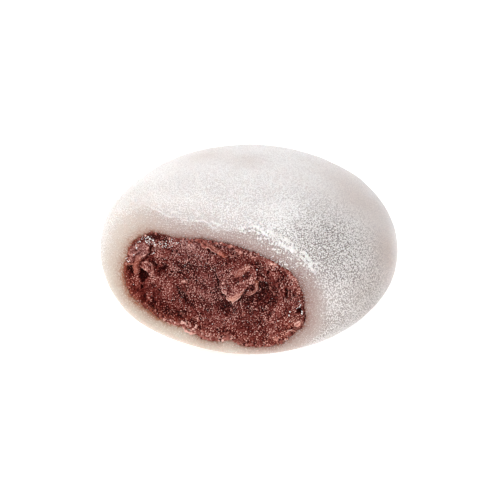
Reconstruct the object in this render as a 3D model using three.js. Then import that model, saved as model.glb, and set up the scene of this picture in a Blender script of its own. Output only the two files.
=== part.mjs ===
// A soft filled rice cake (daifuku mochi) with a slice cut off its front.
//
// Units are millimetres and +Z is up. The cake stands on its flat underside at
// z = 0, its cut side looks along -Y, and the origin is under the middle of
// its box.
//
// Two pieces: the rice skin, a shell that is open at the cut, and the ball of
// sweet bean paste that runs through it from the cut to the back. Both are
// worked out from the same few sizes: a squashed ball, a leaning cut, a flat
// underside and the outline of the mouth that the cut opens in the skin.

import * as THREE from "three";

// ---- sizes of the whole cake ------------------------------------------------
const BALL_RADIUS = 27.5; // half of the width of the cake
const BALL_HALF_HEIGHT = 15.125; // half of the height of the squashed ball
const UNDERSIDE_DROP = 12.1; // ball centre to the flat underside
const UNDERSIDE_ROUND = 1.4; // blend between the side and the underside
const FOOTPRINT_RADIUS = 11.6; // the flat spot that it stands on
const FOOTPRINT_SIDES = 6;
const FOOTPRINT_LIFT = 0.03; // slope of the underside outside that spot
const FOOTPRINT_MARGIN = 0.3; // the slope starts this far inside its edges
const CENTRE_Y = -3.277; // ball centre from the middle of the box

// ---- the cut ----------------------------------------------------------------
const CUT_LEAN = 7.374; // degrees that the cut leans back
const CUT_OFFSET = 15.531; // ball centre to the cut
const CUT_ROUND_TOP = 6.0; // blend of the skin's edge above the paste
const CUT_ROUND_FOOT = 1.6; // the same below it, where the skin is pinched
const FOOT_START = -4.0; // height on the cut where it starts to slump forward
const FOOT_SPAN = 8.5;
const FOOT_REACH = 4.2; // how far the cut slumps forward at its foot
const CORNER_REACH = 2.4; // extra slump at the low corner on the -X side
const CORNER_BULGE = 0.5; // swelling of the skin there

// ---- the mouth: where the paste shows in the cut ---------------------------
const MOUTH_X = -0.2; // centre, across the cut
const MOUTH_Y = -2.05; // centre, up the cut
const MOUTH_HALF_WIDTH = 17.8;
const MOUTH_HALF_HEIGHT = 8.6;
const MOUTH_SQUARENESS = 2.65; // 2 is an ellipse, more is squarer
// Where the outline swells or draws in: degrees round it from +X, half-width
// of the wave in degrees, and its share of the radius.
const MOUTH_WAVES = [
  { at: 18, wide: 10, by: 0.028 },
  { at: 58, wide: 40, by: 0.036 },
  { at: 145, wide: 26, by: -0.2 },
  { at: 147, wide: 18, by: 0.199 },
  { at: 209, wide: 20, by: -0.127 },
  { at: 251, wide: 17, by: -0.083 },
  { at: 265, wide: 23, by: 0.046 },
  { at: 304, wide: 7, by: -0.039 },
  { at: 330, wide: 15, by: 0.038 },
  { at: 357, wide: 9, by: 0.033 },
];

// ---- inside -----------------------------------------------------------------
const SKIN = 3.8; // thickness of the skin away from the cut
const CLEARANCE = 0.36; // room between the skin and the paste
const DEPTH = 15.5; // from the cut back to the point all rays start from
const MOUTH_BLEND = 0.42; // radians over which the hollow widens behind it

// ---- mesh -------------------------------------------------------------------
const SEGMENTS = 72; // round the mouth
const OUTER_RINGS = 30;
const INNER_RINGS = 10;
const FACE_RINGS = 15;
const SAMPLES = 240; // fine steps that each curve is measured with

// Lumps, folds and hollows of the cut paste. x and y are on the cut, long and
// wide are half-sizes, turn is in degrees, rise is out of the cut.
const PASTE_RELIEF = [
  { what: "raised flake", x: 4.9, y: 0.6, long: 3.6, wide: 2.2, turn: -60, rise: 0.9 },
  { what: "curled fold beside it", x: 7.6, y: -0.3, long: 2.4, wide: 1.0, turn: -65, rise: 0.7 },
  { what: "hollow behind the fold", x: 10.2, y: -1.6, long: 3.4, wide: 2.4, turn: 30, rise: -0.9 },
  { what: "rim along +X", x: 15.6, y: 1.4, long: 3.8, wide: 1.4, turn: 80, rise: 0.5 },
  { what: "crumbly heel", x: 15.2, y: -5.4, long: 2.6, wide: 1.8, turn: -50, rise: 0.5 },
  { what: "ridge peeling from the top", x: -0.2, y: 5.2, long: 3.2, wide: 1.0, turn: -18, rise: 0.5 },
  { what: "lump at the -X end", x: -14.4, y: 1.2, long: 2.8, wide: 2.0, turn: 50, rise: 0.7 },
  { what: "pocket under the lump", x: -13.9, y: -3.6, long: 2.2, wide: 1.5, turn: 20, rise: -0.9 },
  { what: "flap beside the pocket", x: -12.4, y: -1.9, long: 1.7, wide: 1.0, turn: 60, rise: 0.6 },
  { what: "groove", x: -5.8, y: -5.2, long: 2.4, wide: 0.9, turn: -45, rise: -0.5 },
  { what: "low middle", x: -8.5, y: -8.2, long: 4.6, wide: 1.8, turn: -12, rise: -0.5 },
  { what: "swell", x: -6.0, y: 1.2, long: 5.0, wide: 2.6, turn: 8, rise: 0.45 },
  { what: "swell near the foot", x: 1.6, y: -6.6, long: 5.0, wide: 2.4, turn: -4, rise: 0.5 },
];

const SKIN_COLOR = new THREE.Color().setRGB(0.85, 0.81, 0.79, THREE.SRGBColorSpace);
const PASTE_COLOR = new THREE.Color().setRGB(0.43, 0.26, 0.24, THREE.SRGBColorSpace);

// ---- the frame of the cut, about the centre of the ball ---------------------
const lean = THREE.MathUtils.degToRad(CUT_LEAN);
const outward = new THREE.Vector3(0, -Math.cos(lean), Math.sin(lean));
const across = new THREE.Vector3(1, 0, 0);
const upward = new THREE.Vector3(0, Math.sin(lean), Math.cos(lean));
const cutCentre = outward.clone().multiplyScalar(CUT_OFFSET);
const start = cutCentre.clone()
  .addScaledVector(across, MOUTH_X)
  .addScaledVector(upward, MOUTH_Y)
  .addScaledVector(outward, -DEPTH);

const smoothstep = (t) => {
  const s = Math.min(1, Math.max(0, t));
  return s * s * (3 - 2 * s);
};

// The larger of two distances, blended over a width k.
const blendMax = (a, b, k) => {
  const h = Math.max(k - Math.abs(a - b), 0) / k;
  return Math.max(a, b) + (h * h * k) / 4;
};

// How far the cut surface stands out of its plane at (x, y) of the cut.
const slump = (x, y) => {
  const t = Math.min(1.15, Math.max(0, (FOOT_START - y) / FOOT_SPAN));
  return FOOT_REACH * t * t + CORNER_REACH * smoothstep((-2 - x) / 14) * smoothstep((2 - y) / 10);
};

// Distance outside the squashed ball, close to true near its surface.
const ball = (p) => {
  const w = 1 / BALL_RADIUS, h = 1 / BALL_HALF_HEIGHT;
  const x = p.x * w, y = p.y * w, z = p.z * h;
  const k = Math.hypot(x, y, z);
  return (k - 1) / Math.max(Math.hypot(x * w, y * w, z * h) / Math.max(k, 1e-9), 1e-9);
};
const wholeCake = (p) => blendMax(ball(p), -UNDERSIDE_DROP - p.z, UNDERSIDE_ROUND);

const cutCake = (p) => {
  const q = p.clone().sub(cutCentre);
  const x = q.dot(across), y = q.dot(upward), h = q.dot(outward);
  const round = CUT_ROUND_FOOT + (CUT_ROUND_TOP - CUT_ROUND_FOOT) * smoothstep((y + 9) / 13);
  const bulge = CORNER_BULGE * Math.exp(-(((x + 12) / 8) ** 2) - ((y + 9.5) / 6) ** 2);
  return blendMax(blendMax(ball(p), h - slump(x, y), round) - bulge, -UNDERSIDE_DROP - p.z, UNDERSIDE_ROUND);
};

// A ray leaves the start at `around` round the cut's normal and `away` from it.
const ray = (around, away) => new THREE.Vector3()
  .addScaledVector(outward, Math.cos(away))
  .addScaledVector(across, Math.sin(away) * Math.cos(around))
  .addScaledVector(upward, Math.sin(away) * Math.sin(around));

const along = (direction, r) => start.clone().addScaledVector(direction, r);

const reach = (distance, direction) => {
  let low = 4, high = 45;
  for (let i = 0; i < 44; i++) {
    const middle = (low + high) / 2;
    if (distance(along(direction, middle)) > 0) high = middle;
    else low = middle;
  }
  return (low + high) / 2;
};

// Radius of the mouth's outline from its centre.
const mouthRadius = (around) => {
  const c = Math.abs(Math.cos(around)) / MOUTH_HALF_WIDTH;
  const s = Math.abs(Math.sin(around)) / MOUTH_HALF_HEIGHT;
  const even = (c ** MOUTH_SQUARENESS + s ** MOUTH_SQUARENESS) ** (-1 / MOUTH_SQUARENESS);
  let share = 1;
  for (const wave of MOUTH_WAVES) {
    const off = THREE.MathUtils.radToDeg(around) - wave.at;
    const near = THREE.MathUtils.euclideanModulo(off + 180, 360) - 180;
    share += wave.by * Math.exp(-((near / wave.wide) ** 2));
  }
  return even * share;
};

// The angle away from the normal at which the cut surface is `radius` out.
const awayAt = (around, radius) => {
  let low = 0.02, high = 1.5;
  for (let i = 0; i < 40; i++) {
    const middle = (low + high) / 2;
    if (reach(cutCake, ray(around, middle)) * Math.sin(middle) > radius) high = middle;
    else low = middle;
  }
  return (low + high) / 2;
};

// The wall of the hollow: straight back from the mouth, then widening to the
// inside of the skin.
const hollow = (around, away, mouthAway) => {
  const straight = mouthRadius(around) / Math.sin(Math.max(away, 0.2));
  const inside = reach(wholeCake, ray(around, away)) - SKIN;
  const w = smoothstep((away - mouthAway) / MOUTH_BLEND);
  return straight * (1 - w) + inside * w;
};

// Spreads n + 1 points evenly along a curve given by a function of t in 0..1,
// closer together where `weight` is larger.
const spread = (curve, n, weight = () => 1) => {
  const fine = [], length = [0];
  for (let i = 0; i <= SAMPLES; i++) fine.push(curve(i / SAMPLES));
  for (let i = 1; i <= SAMPLES; i++) {
    length.push(length[i - 1] + fine[i].distanceTo(fine[i - 1]) * weight((i - 0.5) / SAMPLES, fine[i]));
  }
  const out = [];
  for (let k = 0, i = 1; k <= n; k++) {
    const s = (length[SAMPLES] * k) / n;
    while (i < SAMPLES && length[i] < s) i++;
    const f = (s - length[i - 1]) / Math.max(length[i] - length[i - 1], 1e-9);
    out.push(fine[i - 1].clone().lerp(fine[i], Math.min(1, Math.max(0, f))));
  }
  out[0] = fine[0].clone();
  out[n] = fine[SAMPLES].clone();
  return out;
};

// A lathe gives the closed topology: its profile starts and ends on the axis.
// Each of its vertices then moves to its place on the cake.
const latheFrom = (columns) => {
  const count = columns[0].length;
  const profile = [];
  for (let j = 0; j < count; j++) {
    const t = (Math.PI * j) / (count - 1);
    const onAxis = j === 0 || j === count - 1;
    profile.push(new THREE.Vector2(onAxis ? 0 : Math.sin(t), -Math.cos(t)));
  }
  const geometry = new THREE.LatheGeometry(profile, SEGMENTS);
  const position = geometry.getAttribute("position");
  for (let i = 0; i <= SEGMENTS; i++) {
    for (let j = 0; j < count; j++) {
      const column = j === 0 || j === count - 1 ? columns[0] : columns[i % SEGMENTS];
      const p = column[j];
      position.setXYZ(i * count + j, p.x, p.y + CENTRE_Y, p.z + UNDERSIDE_DROP);
    }
  }
  geometry.computeVertexNormals();
  return geometry;
};

const angleOf = (i) => (2 * Math.PI * i) / SEGMENTS;

// ---- the skin ---------------------------------------------------------------
const skinColumns = [];
const hollowColumns = [];
for (let i = 0; i < SEGMENTS; i++) {
  const around = angleOf(i);
  const mouthAway = awayAt(around, mouthRadius(around));
  const outside = spread((t) => {
    const direction = ray(around, Math.PI + (mouthAway - Math.PI) * t);
    return along(direction, reach(cutCake, direction));
  }, OUTER_RINGS, (t) => (t > 0.35 ? 1.7 : 1));
  const inside = spread((t) => {
    const away = mouthAway + (Math.PI - mouthAway) * t;
    return along(ray(around, away), hollow(around, away, mouthAway));
  }, INNER_RINGS, (t) => (t < 0.15 ? 2.2 : 1));
  skinColumns.push([...outside, ...inside.slice(1)]);
  hollowColumns.push(inside);
}

// The underside is flat on a six-sided spot whose corners are points of the
// mesh, and rises a little outside it.
const lowest = -UNDERSIDE_DROP;
const outerPoints = skinColumns.flatMap((column) => column.slice(0, OUTER_RINGS + 1));
const flatPoints = outerPoints.filter((p) => p.z < lowest + 1e-6);
const corners = [];
for (let k = 0; k < FOOTPRINT_SIDES; k++) {
  const turn = (2 * Math.PI * (k + 0.5)) / FOOTPRINT_SIDES;
  const aim = new THREE.Vector3(FOOTPRINT_RADIUS * Math.cos(turn), FOOTPRINT_RADIUS * Math.sin(turn), lowest);
  corners.push(flatPoints.reduce((a, b) => (b.distanceTo(aim) < a.distanceTo(aim) ? b : a)).clone());
}
const outsideFootprint = (p) => Math.max(...corners.map((a, k) => {
  const b = corners[(k + 1) % FOOTPRINT_SIDES];
  const length = Math.hypot(b.x - a.x, b.y - a.y);
  return ((p.x - a.x) * (b.y - a.y) - (p.y - a.y) * (b.x - a.x)) / length;
}));
for (const p of outerPoints) {
  const away = outsideFootprint(p) + FOOTPRINT_MARGIN;
  const isCorner = corners.some((corner) => corner.distanceTo(p) < 1e-6);
  if (away > 0 && !isCorner) p.z = Math.max(p.z, lowest + FOOTPRINT_LIFT * away);
}

// ---- the paste --------------------------------------------------------------
const pasteRise = (x, y) => {
  let rise = 0;
  for (const lump of PASTE_RELIEF) {
    const turn = THREE.MathUtils.degToRad(lump.turn);
    const dx = x - lump.x, dy = y - lump.y;
    const a = (dx * Math.cos(turn) + dy * Math.sin(turn)) / lump.long;
    const b = (-dx * Math.sin(turn) + dy * Math.cos(turn)) / lump.wide;
    rise += lump.rise * Math.exp(-((a * a + b * b) ** 1.5));
  }
  return rise;
};

const onFace = (around, part) => {
  const radius = (mouthRadius(around) - CLEARANCE) * part;
  const x = MOUTH_X + radius * Math.cos(around), y = MOUTH_Y + radius * Math.sin(around);
  const edge = smoothstep((part - 0.72) / 0.28);
  const h = slump(x, y) - 0.15 + pasteRise(x, y) * (1 - edge) - 0.45 * edge * edge;
  return cutCentre.clone().addScaledVector(across, x).addScaledVector(upward, y).addScaledVector(outward, h);
};

const pasteColumns = [];
for (let i = 0; i < SEGMENTS; i++) {
  const around = angleOf(i);
  const behind = hollowColumns[i].slice(1).reverse().map((p) => {
    const wall = p.clone().sub(start);
    return start.clone().addScaledVector(wall, 1 - CLEARANCE / wall.length());
  });
  const face = [];
  for (let k = FACE_RINGS; k >= 0; k--) face.push(onFace(around, k / FACE_RINGS));
  pasteColumns.push([...behind, ...face]);
}

const skin = new THREE.Mesh(
  latheFrom(skinColumns),
  new THREE.MeshStandardMaterial({ color: SKIN_COLOR, roughness: 0.75, metalness: 0 }),
);
skin.name = "mochi_skin";

const paste = new THREE.Mesh(
  latheFrom(pasteColumns),
  new THREE.MeshStandardMaterial({ color: PASTE_COLOR, roughness: 0.65, metalness: 0 }),
);
paste.name = "red_bean_filling";

const mochi = new THREE.Group();
mochi.name = "mochi_half";
mochi.add(skin, paste);

export default mochi;
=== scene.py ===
import math

import bpy
import numpy as np
from mathutils import Matrix, Vector, kdtree


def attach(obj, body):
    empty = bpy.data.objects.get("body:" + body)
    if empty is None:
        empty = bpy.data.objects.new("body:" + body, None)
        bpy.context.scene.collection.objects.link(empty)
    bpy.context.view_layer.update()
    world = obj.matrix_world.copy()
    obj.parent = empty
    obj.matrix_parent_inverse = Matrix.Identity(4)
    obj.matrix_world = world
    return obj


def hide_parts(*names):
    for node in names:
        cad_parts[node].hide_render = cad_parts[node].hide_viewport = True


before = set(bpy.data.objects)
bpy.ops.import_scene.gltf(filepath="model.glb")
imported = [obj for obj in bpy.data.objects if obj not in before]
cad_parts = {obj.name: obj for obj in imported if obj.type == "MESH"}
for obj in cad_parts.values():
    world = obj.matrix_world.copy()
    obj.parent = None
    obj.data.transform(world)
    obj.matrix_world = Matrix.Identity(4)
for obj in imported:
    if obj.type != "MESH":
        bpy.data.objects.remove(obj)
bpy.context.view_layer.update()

# ---------------------------------------------------------------------------
# The sizes that part.mjs is made from, in millimetres about the ball's centre.
# ---------------------------------------------------------------------------
BALL_RADIUS = 27.5
BALL_HALF_HEIGHT = 15.125
UNDERSIDE_DROP = 12.1
UNDERSIDE_ROUND = 1.4
CENTRE_Y = -3.277
CUT_OFFSET = 15.531
CUT_ROUND_TOP, CUT_ROUND_FOOT = 6.0, 1.6
FOOT_START, FOOT_SPAN, FOOT_REACH = -4.0, 8.5, 4.2
CORNER_REACH, CORNER_BULGE = 2.4, 0.5
MOUTH_X, MOUTH_Y = -0.2, -2.05
MOUTH_W, MOUTH_H, MOUTH_P = 17.8, 8.6, 2.65
MOUTH_WAVES = ((18, 10, 0.028), (58, 40, 0.036), (145, 26, -0.2), (147, 18, 0.199), (209, 20, -0.127), (251, 17, -0.083),
               (265, 23, 0.046), (304, 7, -0.039), (330, 15, 0.038), (357, 9, 0.033))
SKIN, DEPTH, MOUTH_BLEND = 3.8, 15.5, 0.42

LEAN = math.radians(7.374)
OUT = np.array([0.0, -math.cos(LEAN), math.sin(LEAN)])
ACROSS = np.array([1.0, 0.0, 0.0])
UP = np.array([0.0, math.sin(LEAN), math.cos(LEAN)])
CUT = OUT * CUT_OFFSET
START = CUT + ACROSS * MOUTH_X + UP * MOUTH_Y - OUT * DEPTH
SHIFT = np.array([0.0, CENTRE_Y, UNDERSIDE_DROP])

# The camera: how far it looks down and round, and from where.
VIEW_DOWN, VIEW_ROUND, VIEW_FROM, LENS = 31.577, 25.26, 256.844, 100.0


# ---------------------------------------------------------------------------
# Noise, all of it seeded.
# ---------------------------------------------------------------------------
_rng = np.random.default_rng(20)
_PERM = np.concatenate([_rng.permutation(256)] * 3)
_GRAD = _rng.normal(size=(256, 3))
_GRAD /= np.linalg.norm(_GRAD, axis=1)[:, None]


def _hash(i):
    return _PERM[_PERM[_PERM[i[..., 0] & 255] + (i[..., 1] & 255)] + (i[..., 2] & 255)]


def perlin(p, seed=0.0):
    p = np.asarray(p, float) + np.array([seed * 17.13, seed * 5.71, seed * 9.37])
    i = np.floor(p).astype(np.int64)
    f = p - i
    w = f * f * f * (f * (f * 6 - 15) + 10)
    total = np.zeros(p.shape[:-1])
    for dx in (0, 1):
        for dy in (0, 1):
            for dz in (0, 1):
                g = _GRAD[_hash(i + np.array([dx, dy, dz]))]
                d = f - np.array([dx, dy, dz])
                k = (w[..., 0] if dx else 1 - w[..., 0]) * (w[..., 1] if dy else 1 - w[..., 1]) * (w[..., 2] if dz else 1 - w[..., 2])
                total += k * np.einsum("...i,...i->...", g, d)
    return total * 1.6


def fbm(p, octaves=4, seed=0.0, gain=0.5):
    total, a, norm = 0.0, 1.0, 0.0
    for o in range(octaves):
        total = total + a * perlin(p * (2.03 ** o), seed + 3.1 * o)
        norm += a
        a *= gain
    return total / norm


_JIT = _rng.random((256, 3))


def cells(q, seed=0):
    """2-D cell noise: distance to the nearest and second nearest point, and a value for the cell."""
    i = np.floor(q).astype(np.int64)
    f = q - i
    best = np.full(q.shape[:-1], 9.0)
    second = np.full(q.shape[:-1], 9.0)
    value = np.zeros(q.shape[:-1])
    for dx in (-1, 0, 1):
        for dy in (-1, 0, 1):
            c = np.stack([i[..., 0] + dx, i[..., 1] + dy, np.full(i.shape[:-1], seed)], -1)
            h = _hash(c)
            x = dx + _JIT[h, 0] - f[..., 0]
            y = dy + _JIT[h, 1] - f[..., 1]
            d = np.hypot(x, y)
            nearer = d < best
            second = np.where(nearer, best, np.minimum(second, d))
            value = np.where(nearer, _JIT[h, 2], value)
            best = np.where(nearer, d, best)
    return best, second, value


def step(t):
    t = np.clip(t, 0, 1)
    return t * t * (3 - 2 * t)


def bell(x, w):
    return np.exp(-((x / w) ** 2))


# ---------------------------------------------------------------------------
# The cake as a distance, and rays to it.
# ---------------------------------------------------------------------------
def blend_max(a, b, k):
    h = np.maximum(k - np.abs(a - b), 0) / k
    return np.maximum(a, b) + h * h * k / 4


def slump(x, y):
    t = np.clip((FOOT_START - y) / FOOT_SPAN, 0, 1.15)
    return FOOT_REACH * t * t + CORNER_REACH * step((-2 - x) / 14) * step((2 - y) / 10)


def on_cut(p):
    q = p - CUT
    return q @ ACROSS, q @ UP, q @ OUT


def ball(p):
    s = np.array([1 / BALL_RADIUS, 1 / BALL_RADIUS, 1 / BALL_HALF_HEIGHT])
    q = p * s
    k = np.sqrt((q * q).sum(-1))
    g = np.sqrt(((q * s) ** 2).sum(-1)) / np.maximum(k, 1e-9)
    return (k - 1) / np.maximum(g, 1e-9)


def whole_cake(p):
    return blend_max(ball(p), -UNDERSIDE_DROP - p[..., 2], UNDERSIDE_ROUND)


def cut_cake(p):
    x, y, h = on_cut(p)
    k = CUT_ROUND_FOOT + (CUT_ROUND_TOP - CUT_ROUND_FOOT) * step((y + 9) / 13)
    b = CORNER_BULGE * np.exp(-(((x + 12) / 8) ** 2) - ((y + 9.5) / 6) ** 2)
    return blend_max(blend_max(ball(p), h - slump(x, y), k) - b, -UNDERSIDE_DROP - p[..., 2], UNDERSIDE_ROUND)


def rays(around, away):
    around, away = np.broadcast_arrays(around, away)
    return (np.cos(away)[..., None] * OUT + np.sin(away)[..., None]
            * (np.cos(around)[..., None] * ACROSS + np.sin(around)[..., None] * UP))


def reach(distance, d, turns=34):
    lo = np.full(d.shape[:-1], 4.0)
    hi = np.full(d.shape[:-1], 45.0)
    for _ in range(turns):
        m = (lo + hi) / 2
        out = distance(START + d * m[..., None]) > 0
        hi = np.where(out, m, hi)
        lo = np.where(out, lo, m)
    return (lo + hi) / 2


def mouth(around):
    c = np.abs(np.cos(around)) / MOUTH_W
    s = np.abs(np.sin(around)) / MOUTH_H
    even = (c ** MOUTH_P + s ** MOUTH_P) ** (-1 / MOUTH_P)
    share = np.ones_like(even)
    for at, wide, by in MOUTH_WAVES:
        near = (np.degrees(around) - at + 180) % 360 - 180
        share = share + by * bell(near, wide)
    # torn rather than cut: the outline wanders a little, and the dough is pressed over the paste at the ends
    for at, wide, by in ((14, 11, -0.036), (348, 16, -0.008), (192, 16, -0.020)):
        share = share + by * bell((np.degrees(around) - at + 180) % 360 - 180, wide)
    ring = np.stack([np.cos(around) * even, np.sin(around) * even, np.zeros_like(even)], -1)
    share = share + 0.016 * perlin(ring / 2.6, 4.0) + 0.012 * perlin(ring / 0.9, 7.0)
    return even * share


def away_at(around, radius):
    lo = np.full(around.shape, 0.02)
    hi = np.full(around.shape, 1.5)
    for _ in range(26):
        m = (lo + hi) / 2
        r = reach(cut_cake, rays(around, m), 26) * np.sin(m)
        hi = np.where(r > radius, m, hi)
        lo = np.where(r > radius, lo, m)
    return (lo + hi) / 2


def hollow(around, away, mouth_away):
    straight = mouth(around) / np.sin(np.maximum(away, 0.2))
    inside = reach(whole_cake, rays(around, away)) - SKIN
    w = step((away - mouth_away) / MOUTH_BLEND)
    return straight * (1 - w) + inside * w


def resample(points, weight, n):
    """points (columns, fine, 3) to (columns, n + 1, 3), spread by weighted length."""
    seg = np.linalg.norm(np.diff(points, axis=1), axis=-1) * weight
    length = np.concatenate([np.zeros((len(points), 1)), np.cumsum(seg, 1)], 1)
    out = np.empty((len(points), n + 1, 3))
    at = np.linspace(0, 1, n + 1)
    for c in range(len(points)):
        s = length[c] / length[c, -1]
        for k in range(3):
            out[c, :, k] = np.interp(at, s, points[c, :, k])
    return out


# ---------------------------------------------------------------------------
# Meshes and materials
# ---------------------------------------------------------------------------
def make(name, verts, quads, values=None, tris=None):
    """A mesh from points in millimetres about the ball's centre."""
    me = bpy.data.meshes.new(name)
    v = ((np.asarray(verts) + SHIFT) / 1000.0).astype(np.float32)
    faces = []
    sizes = []
    if quads is not None and len(quads):
        faces.append(np.asarray(quads, np.int32).ravel())
        sizes.append(np.full(len(quads), 4, np.int32))
    if tris is not None and len(tris):
        faces.append(np.asarray(tris, np.int32).ravel())
        sizes.append(np.full(len(tris), 3, np.int32))
    loops, sizes = np.concatenate(faces), np.concatenate(sizes)
    me.vertices.add(len(v))
    me.vertices.foreach_set("co", v.ravel())
    me.loops.add(len(loops))
    me.loops.foreach_set("vertex_index", loops)
    me.polygons.add(len(sizes))
    me.polygons.foreach_set("loop_start", np.concatenate([[0], np.cumsum(sizes)[:-1]]).astype(np.int32))
    me.polygons.foreach_set("use_smooth", np.ones(len(sizes), bool))
    me.update(calc_edges=True)
    me.validate()
    for key, value in (values or {}).items():
        a = me.attributes.new(key, "FLOAT", "POINT")
        a.data.foreach_set("value", np.asarray(value, np.float32).ravel())
    ob = bpy.data.objects.new(name, me)
    bpy.context.scene.collection.objects.link(ob)
    return ob


def unit_solid(faces):
    """Points and triangles of a unit ball with 8, 20 or 80 faces."""
    if faces == 8:
        pts = np.array([(1, 0, 0), (-1, 0, 0), (0, 1, 0), (0, -1, 0), (0, 0, 1), (0, 0, -1)], float)
        return pts, np.array([(0, 2, 4), (2, 1, 4), (1, 3, 4), (3, 0, 4), (2, 0, 5), (1, 2, 5), (3, 1, 5), (0, 3, 5)])
    g = (1 + 5 ** 0.5) / 2
    pts = np.array([(-1, g, 0), (1, g, 0), (-1, -g, 0), (1, -g, 0), (0, -1, g), (0, 1, g),
                    (0, -1, -g), (0, 1, -g), (g, 0, -1), (g, 0, 1), (-g, 0, -1), (-g, 0, 1)], float)
    pts /= np.linalg.norm(pts[0])
    tri = np.array([(0, 11, 5), (0, 5, 1), (0, 1, 7), (0, 7, 10), (0, 10, 11), (1, 5, 9), (5, 11, 4), (11, 10, 2), (10, 7, 6), (7, 1, 8),
                    (3, 9, 4), (3, 4, 2), (3, 2, 6), (3, 6, 8), (3, 8, 9), (4, 9, 5), (2, 4, 11), (6, 2, 10), (8, 6, 7), (9, 8, 1)])
    if faces == 20:
        return pts, tri
    pts, middle, finer = list(pts), {}, []

    def between(a, b):
        key = (min(a, b), max(a, b))
        if key not in middle:
            p = pts[a] + pts[b]
            middle[key] = len(pts)
            pts.append(p / np.linalg.norm(p))
        return middle[key]

    for a, b, c in tri:
        ab, bc, ca = between(a, b), between(b, c), between(c, a)
        finer += [(a, ab, ca), (b, bc, ab), (c, ca, bc), (ab, bc, ca)]
    return np.array(pts), np.array(finer)


def blobs(name, at, out, size, faces, values, seed, flat=0.75, sink=0.3, rough=0.15, uneven=0.3):
    """Many small uneven lumps lying on a surface, as one joined mesh."""
    rng = np.random.default_rng(seed)
    shape, tri = unit_solid(faces)
    n, v = len(at), len(shape)
    q = rng.normal(size=(n, 4))
    w, i, j, k = (q / np.linalg.norm(q, axis=1)[:, None]).T
    turn = np.stack([1 - 2 * (j * j + k * k), 2 * (i * j - k * w), 2 * (i * k + j * w),
                     2 * (i * j + k * w), 1 - 2 * (i * i + k * k), 2 * (j * k - i * w),
                     2 * (i * k - j * w), 2 * (j * k + i * w), 1 - 2 * (i * i + j * j)], -1).reshape(n, 3, 3)
    p = shape[None] * (1 + rough * rng.normal(size=(n, v, 1))) * (1 + uneven * rng.uniform(-1, 1, (n, 1, 3)))
    p = np.einsum("nab,nvb->nva", turn, p)
    p = p - (1 - flat) * np.einsum("nva,na->nv", p, out)[..., None] * out[:, None]
    p = at[:, None] + (p + flat * (1 - 2 * sink) * out[:, None]) * size[:, None, None]
    tris = (tri[None] + (np.arange(n) * v)[:, None, None]).reshape(-1, 3)
    return make(name, p.reshape(-1, 3), None, {key: np.repeat(value, v) for key, value in values.items()}, tris)


def spread(grid, weight, n, seed, closed):
    """n random places on a grid surface, by area and weight: places, and fractional grid indices."""
    rng = np.random.default_rng(seed)
    if closed:
        grid = np.concatenate([grid, grid[:1]])
        weight = np.concatenate([weight, weight[:1]])
    a, b, c, d = grid[:-1, :-1], grid[1:, :-1], grid[1:, 1:], grid[:-1, 1:]
    area = np.linalg.norm(np.cross(c - a, d - b), axis=-1) / 2
    share = area * (weight[:-1, :-1] + weight[1:, 1:]) / 2
    pick = np.searchsorted(np.cumsum(share.ravel()), (np.arange(n) + rng.random(n)) / n * share.sum())
    i, j = np.unravel_index(np.clip(pick, 0, share.size - 1), share.shape)
    s, t = rng.random(n), rng.random(n)
    at = (grid[i, j] * ((1 - s) * (1 - t))[:, None] + grid[i + 1, j] * (s * (1 - t))[:, None]
          + grid[i + 1, j + 1] * (s * t)[:, None] + grid[i, j + 1] * ((1 - s) * t)[:, None])
    return at, i, j


def even_out(at, out, apart, rounds):
    """Places moved along the surface, away from neighbours nearer than `apart`."""
    p = at.copy()
    for _ in range(rounds):
        tree = kdtree.KDTree(len(p))
        for k, q in enumerate(p):
            tree.insert(q, k)
        tree.balance()
        near = np.array([[m for _, m, _ in tree.find_n(q, 5)] for q in p])
        gap = p[:, None] - p[near]
        far = np.linalg.norm(gap, axis=-1)
        push = np.clip(1 - far / apart, 0, 1) * (far > 1e-9)
        move = (gap / np.maximum(far, 1e-9)[..., None] * push[..., None]).sum(1) * apart * 0.45
        p += move - (move * out).sum(-1)[:, None] * out
    return p


def linear(rgb):
    return tuple((c / 255 / 12.92) if c / 255 <= 0.04045 else ((c / 255 + 0.055) / 1.055) ** 2.4 for c in rgb)


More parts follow.
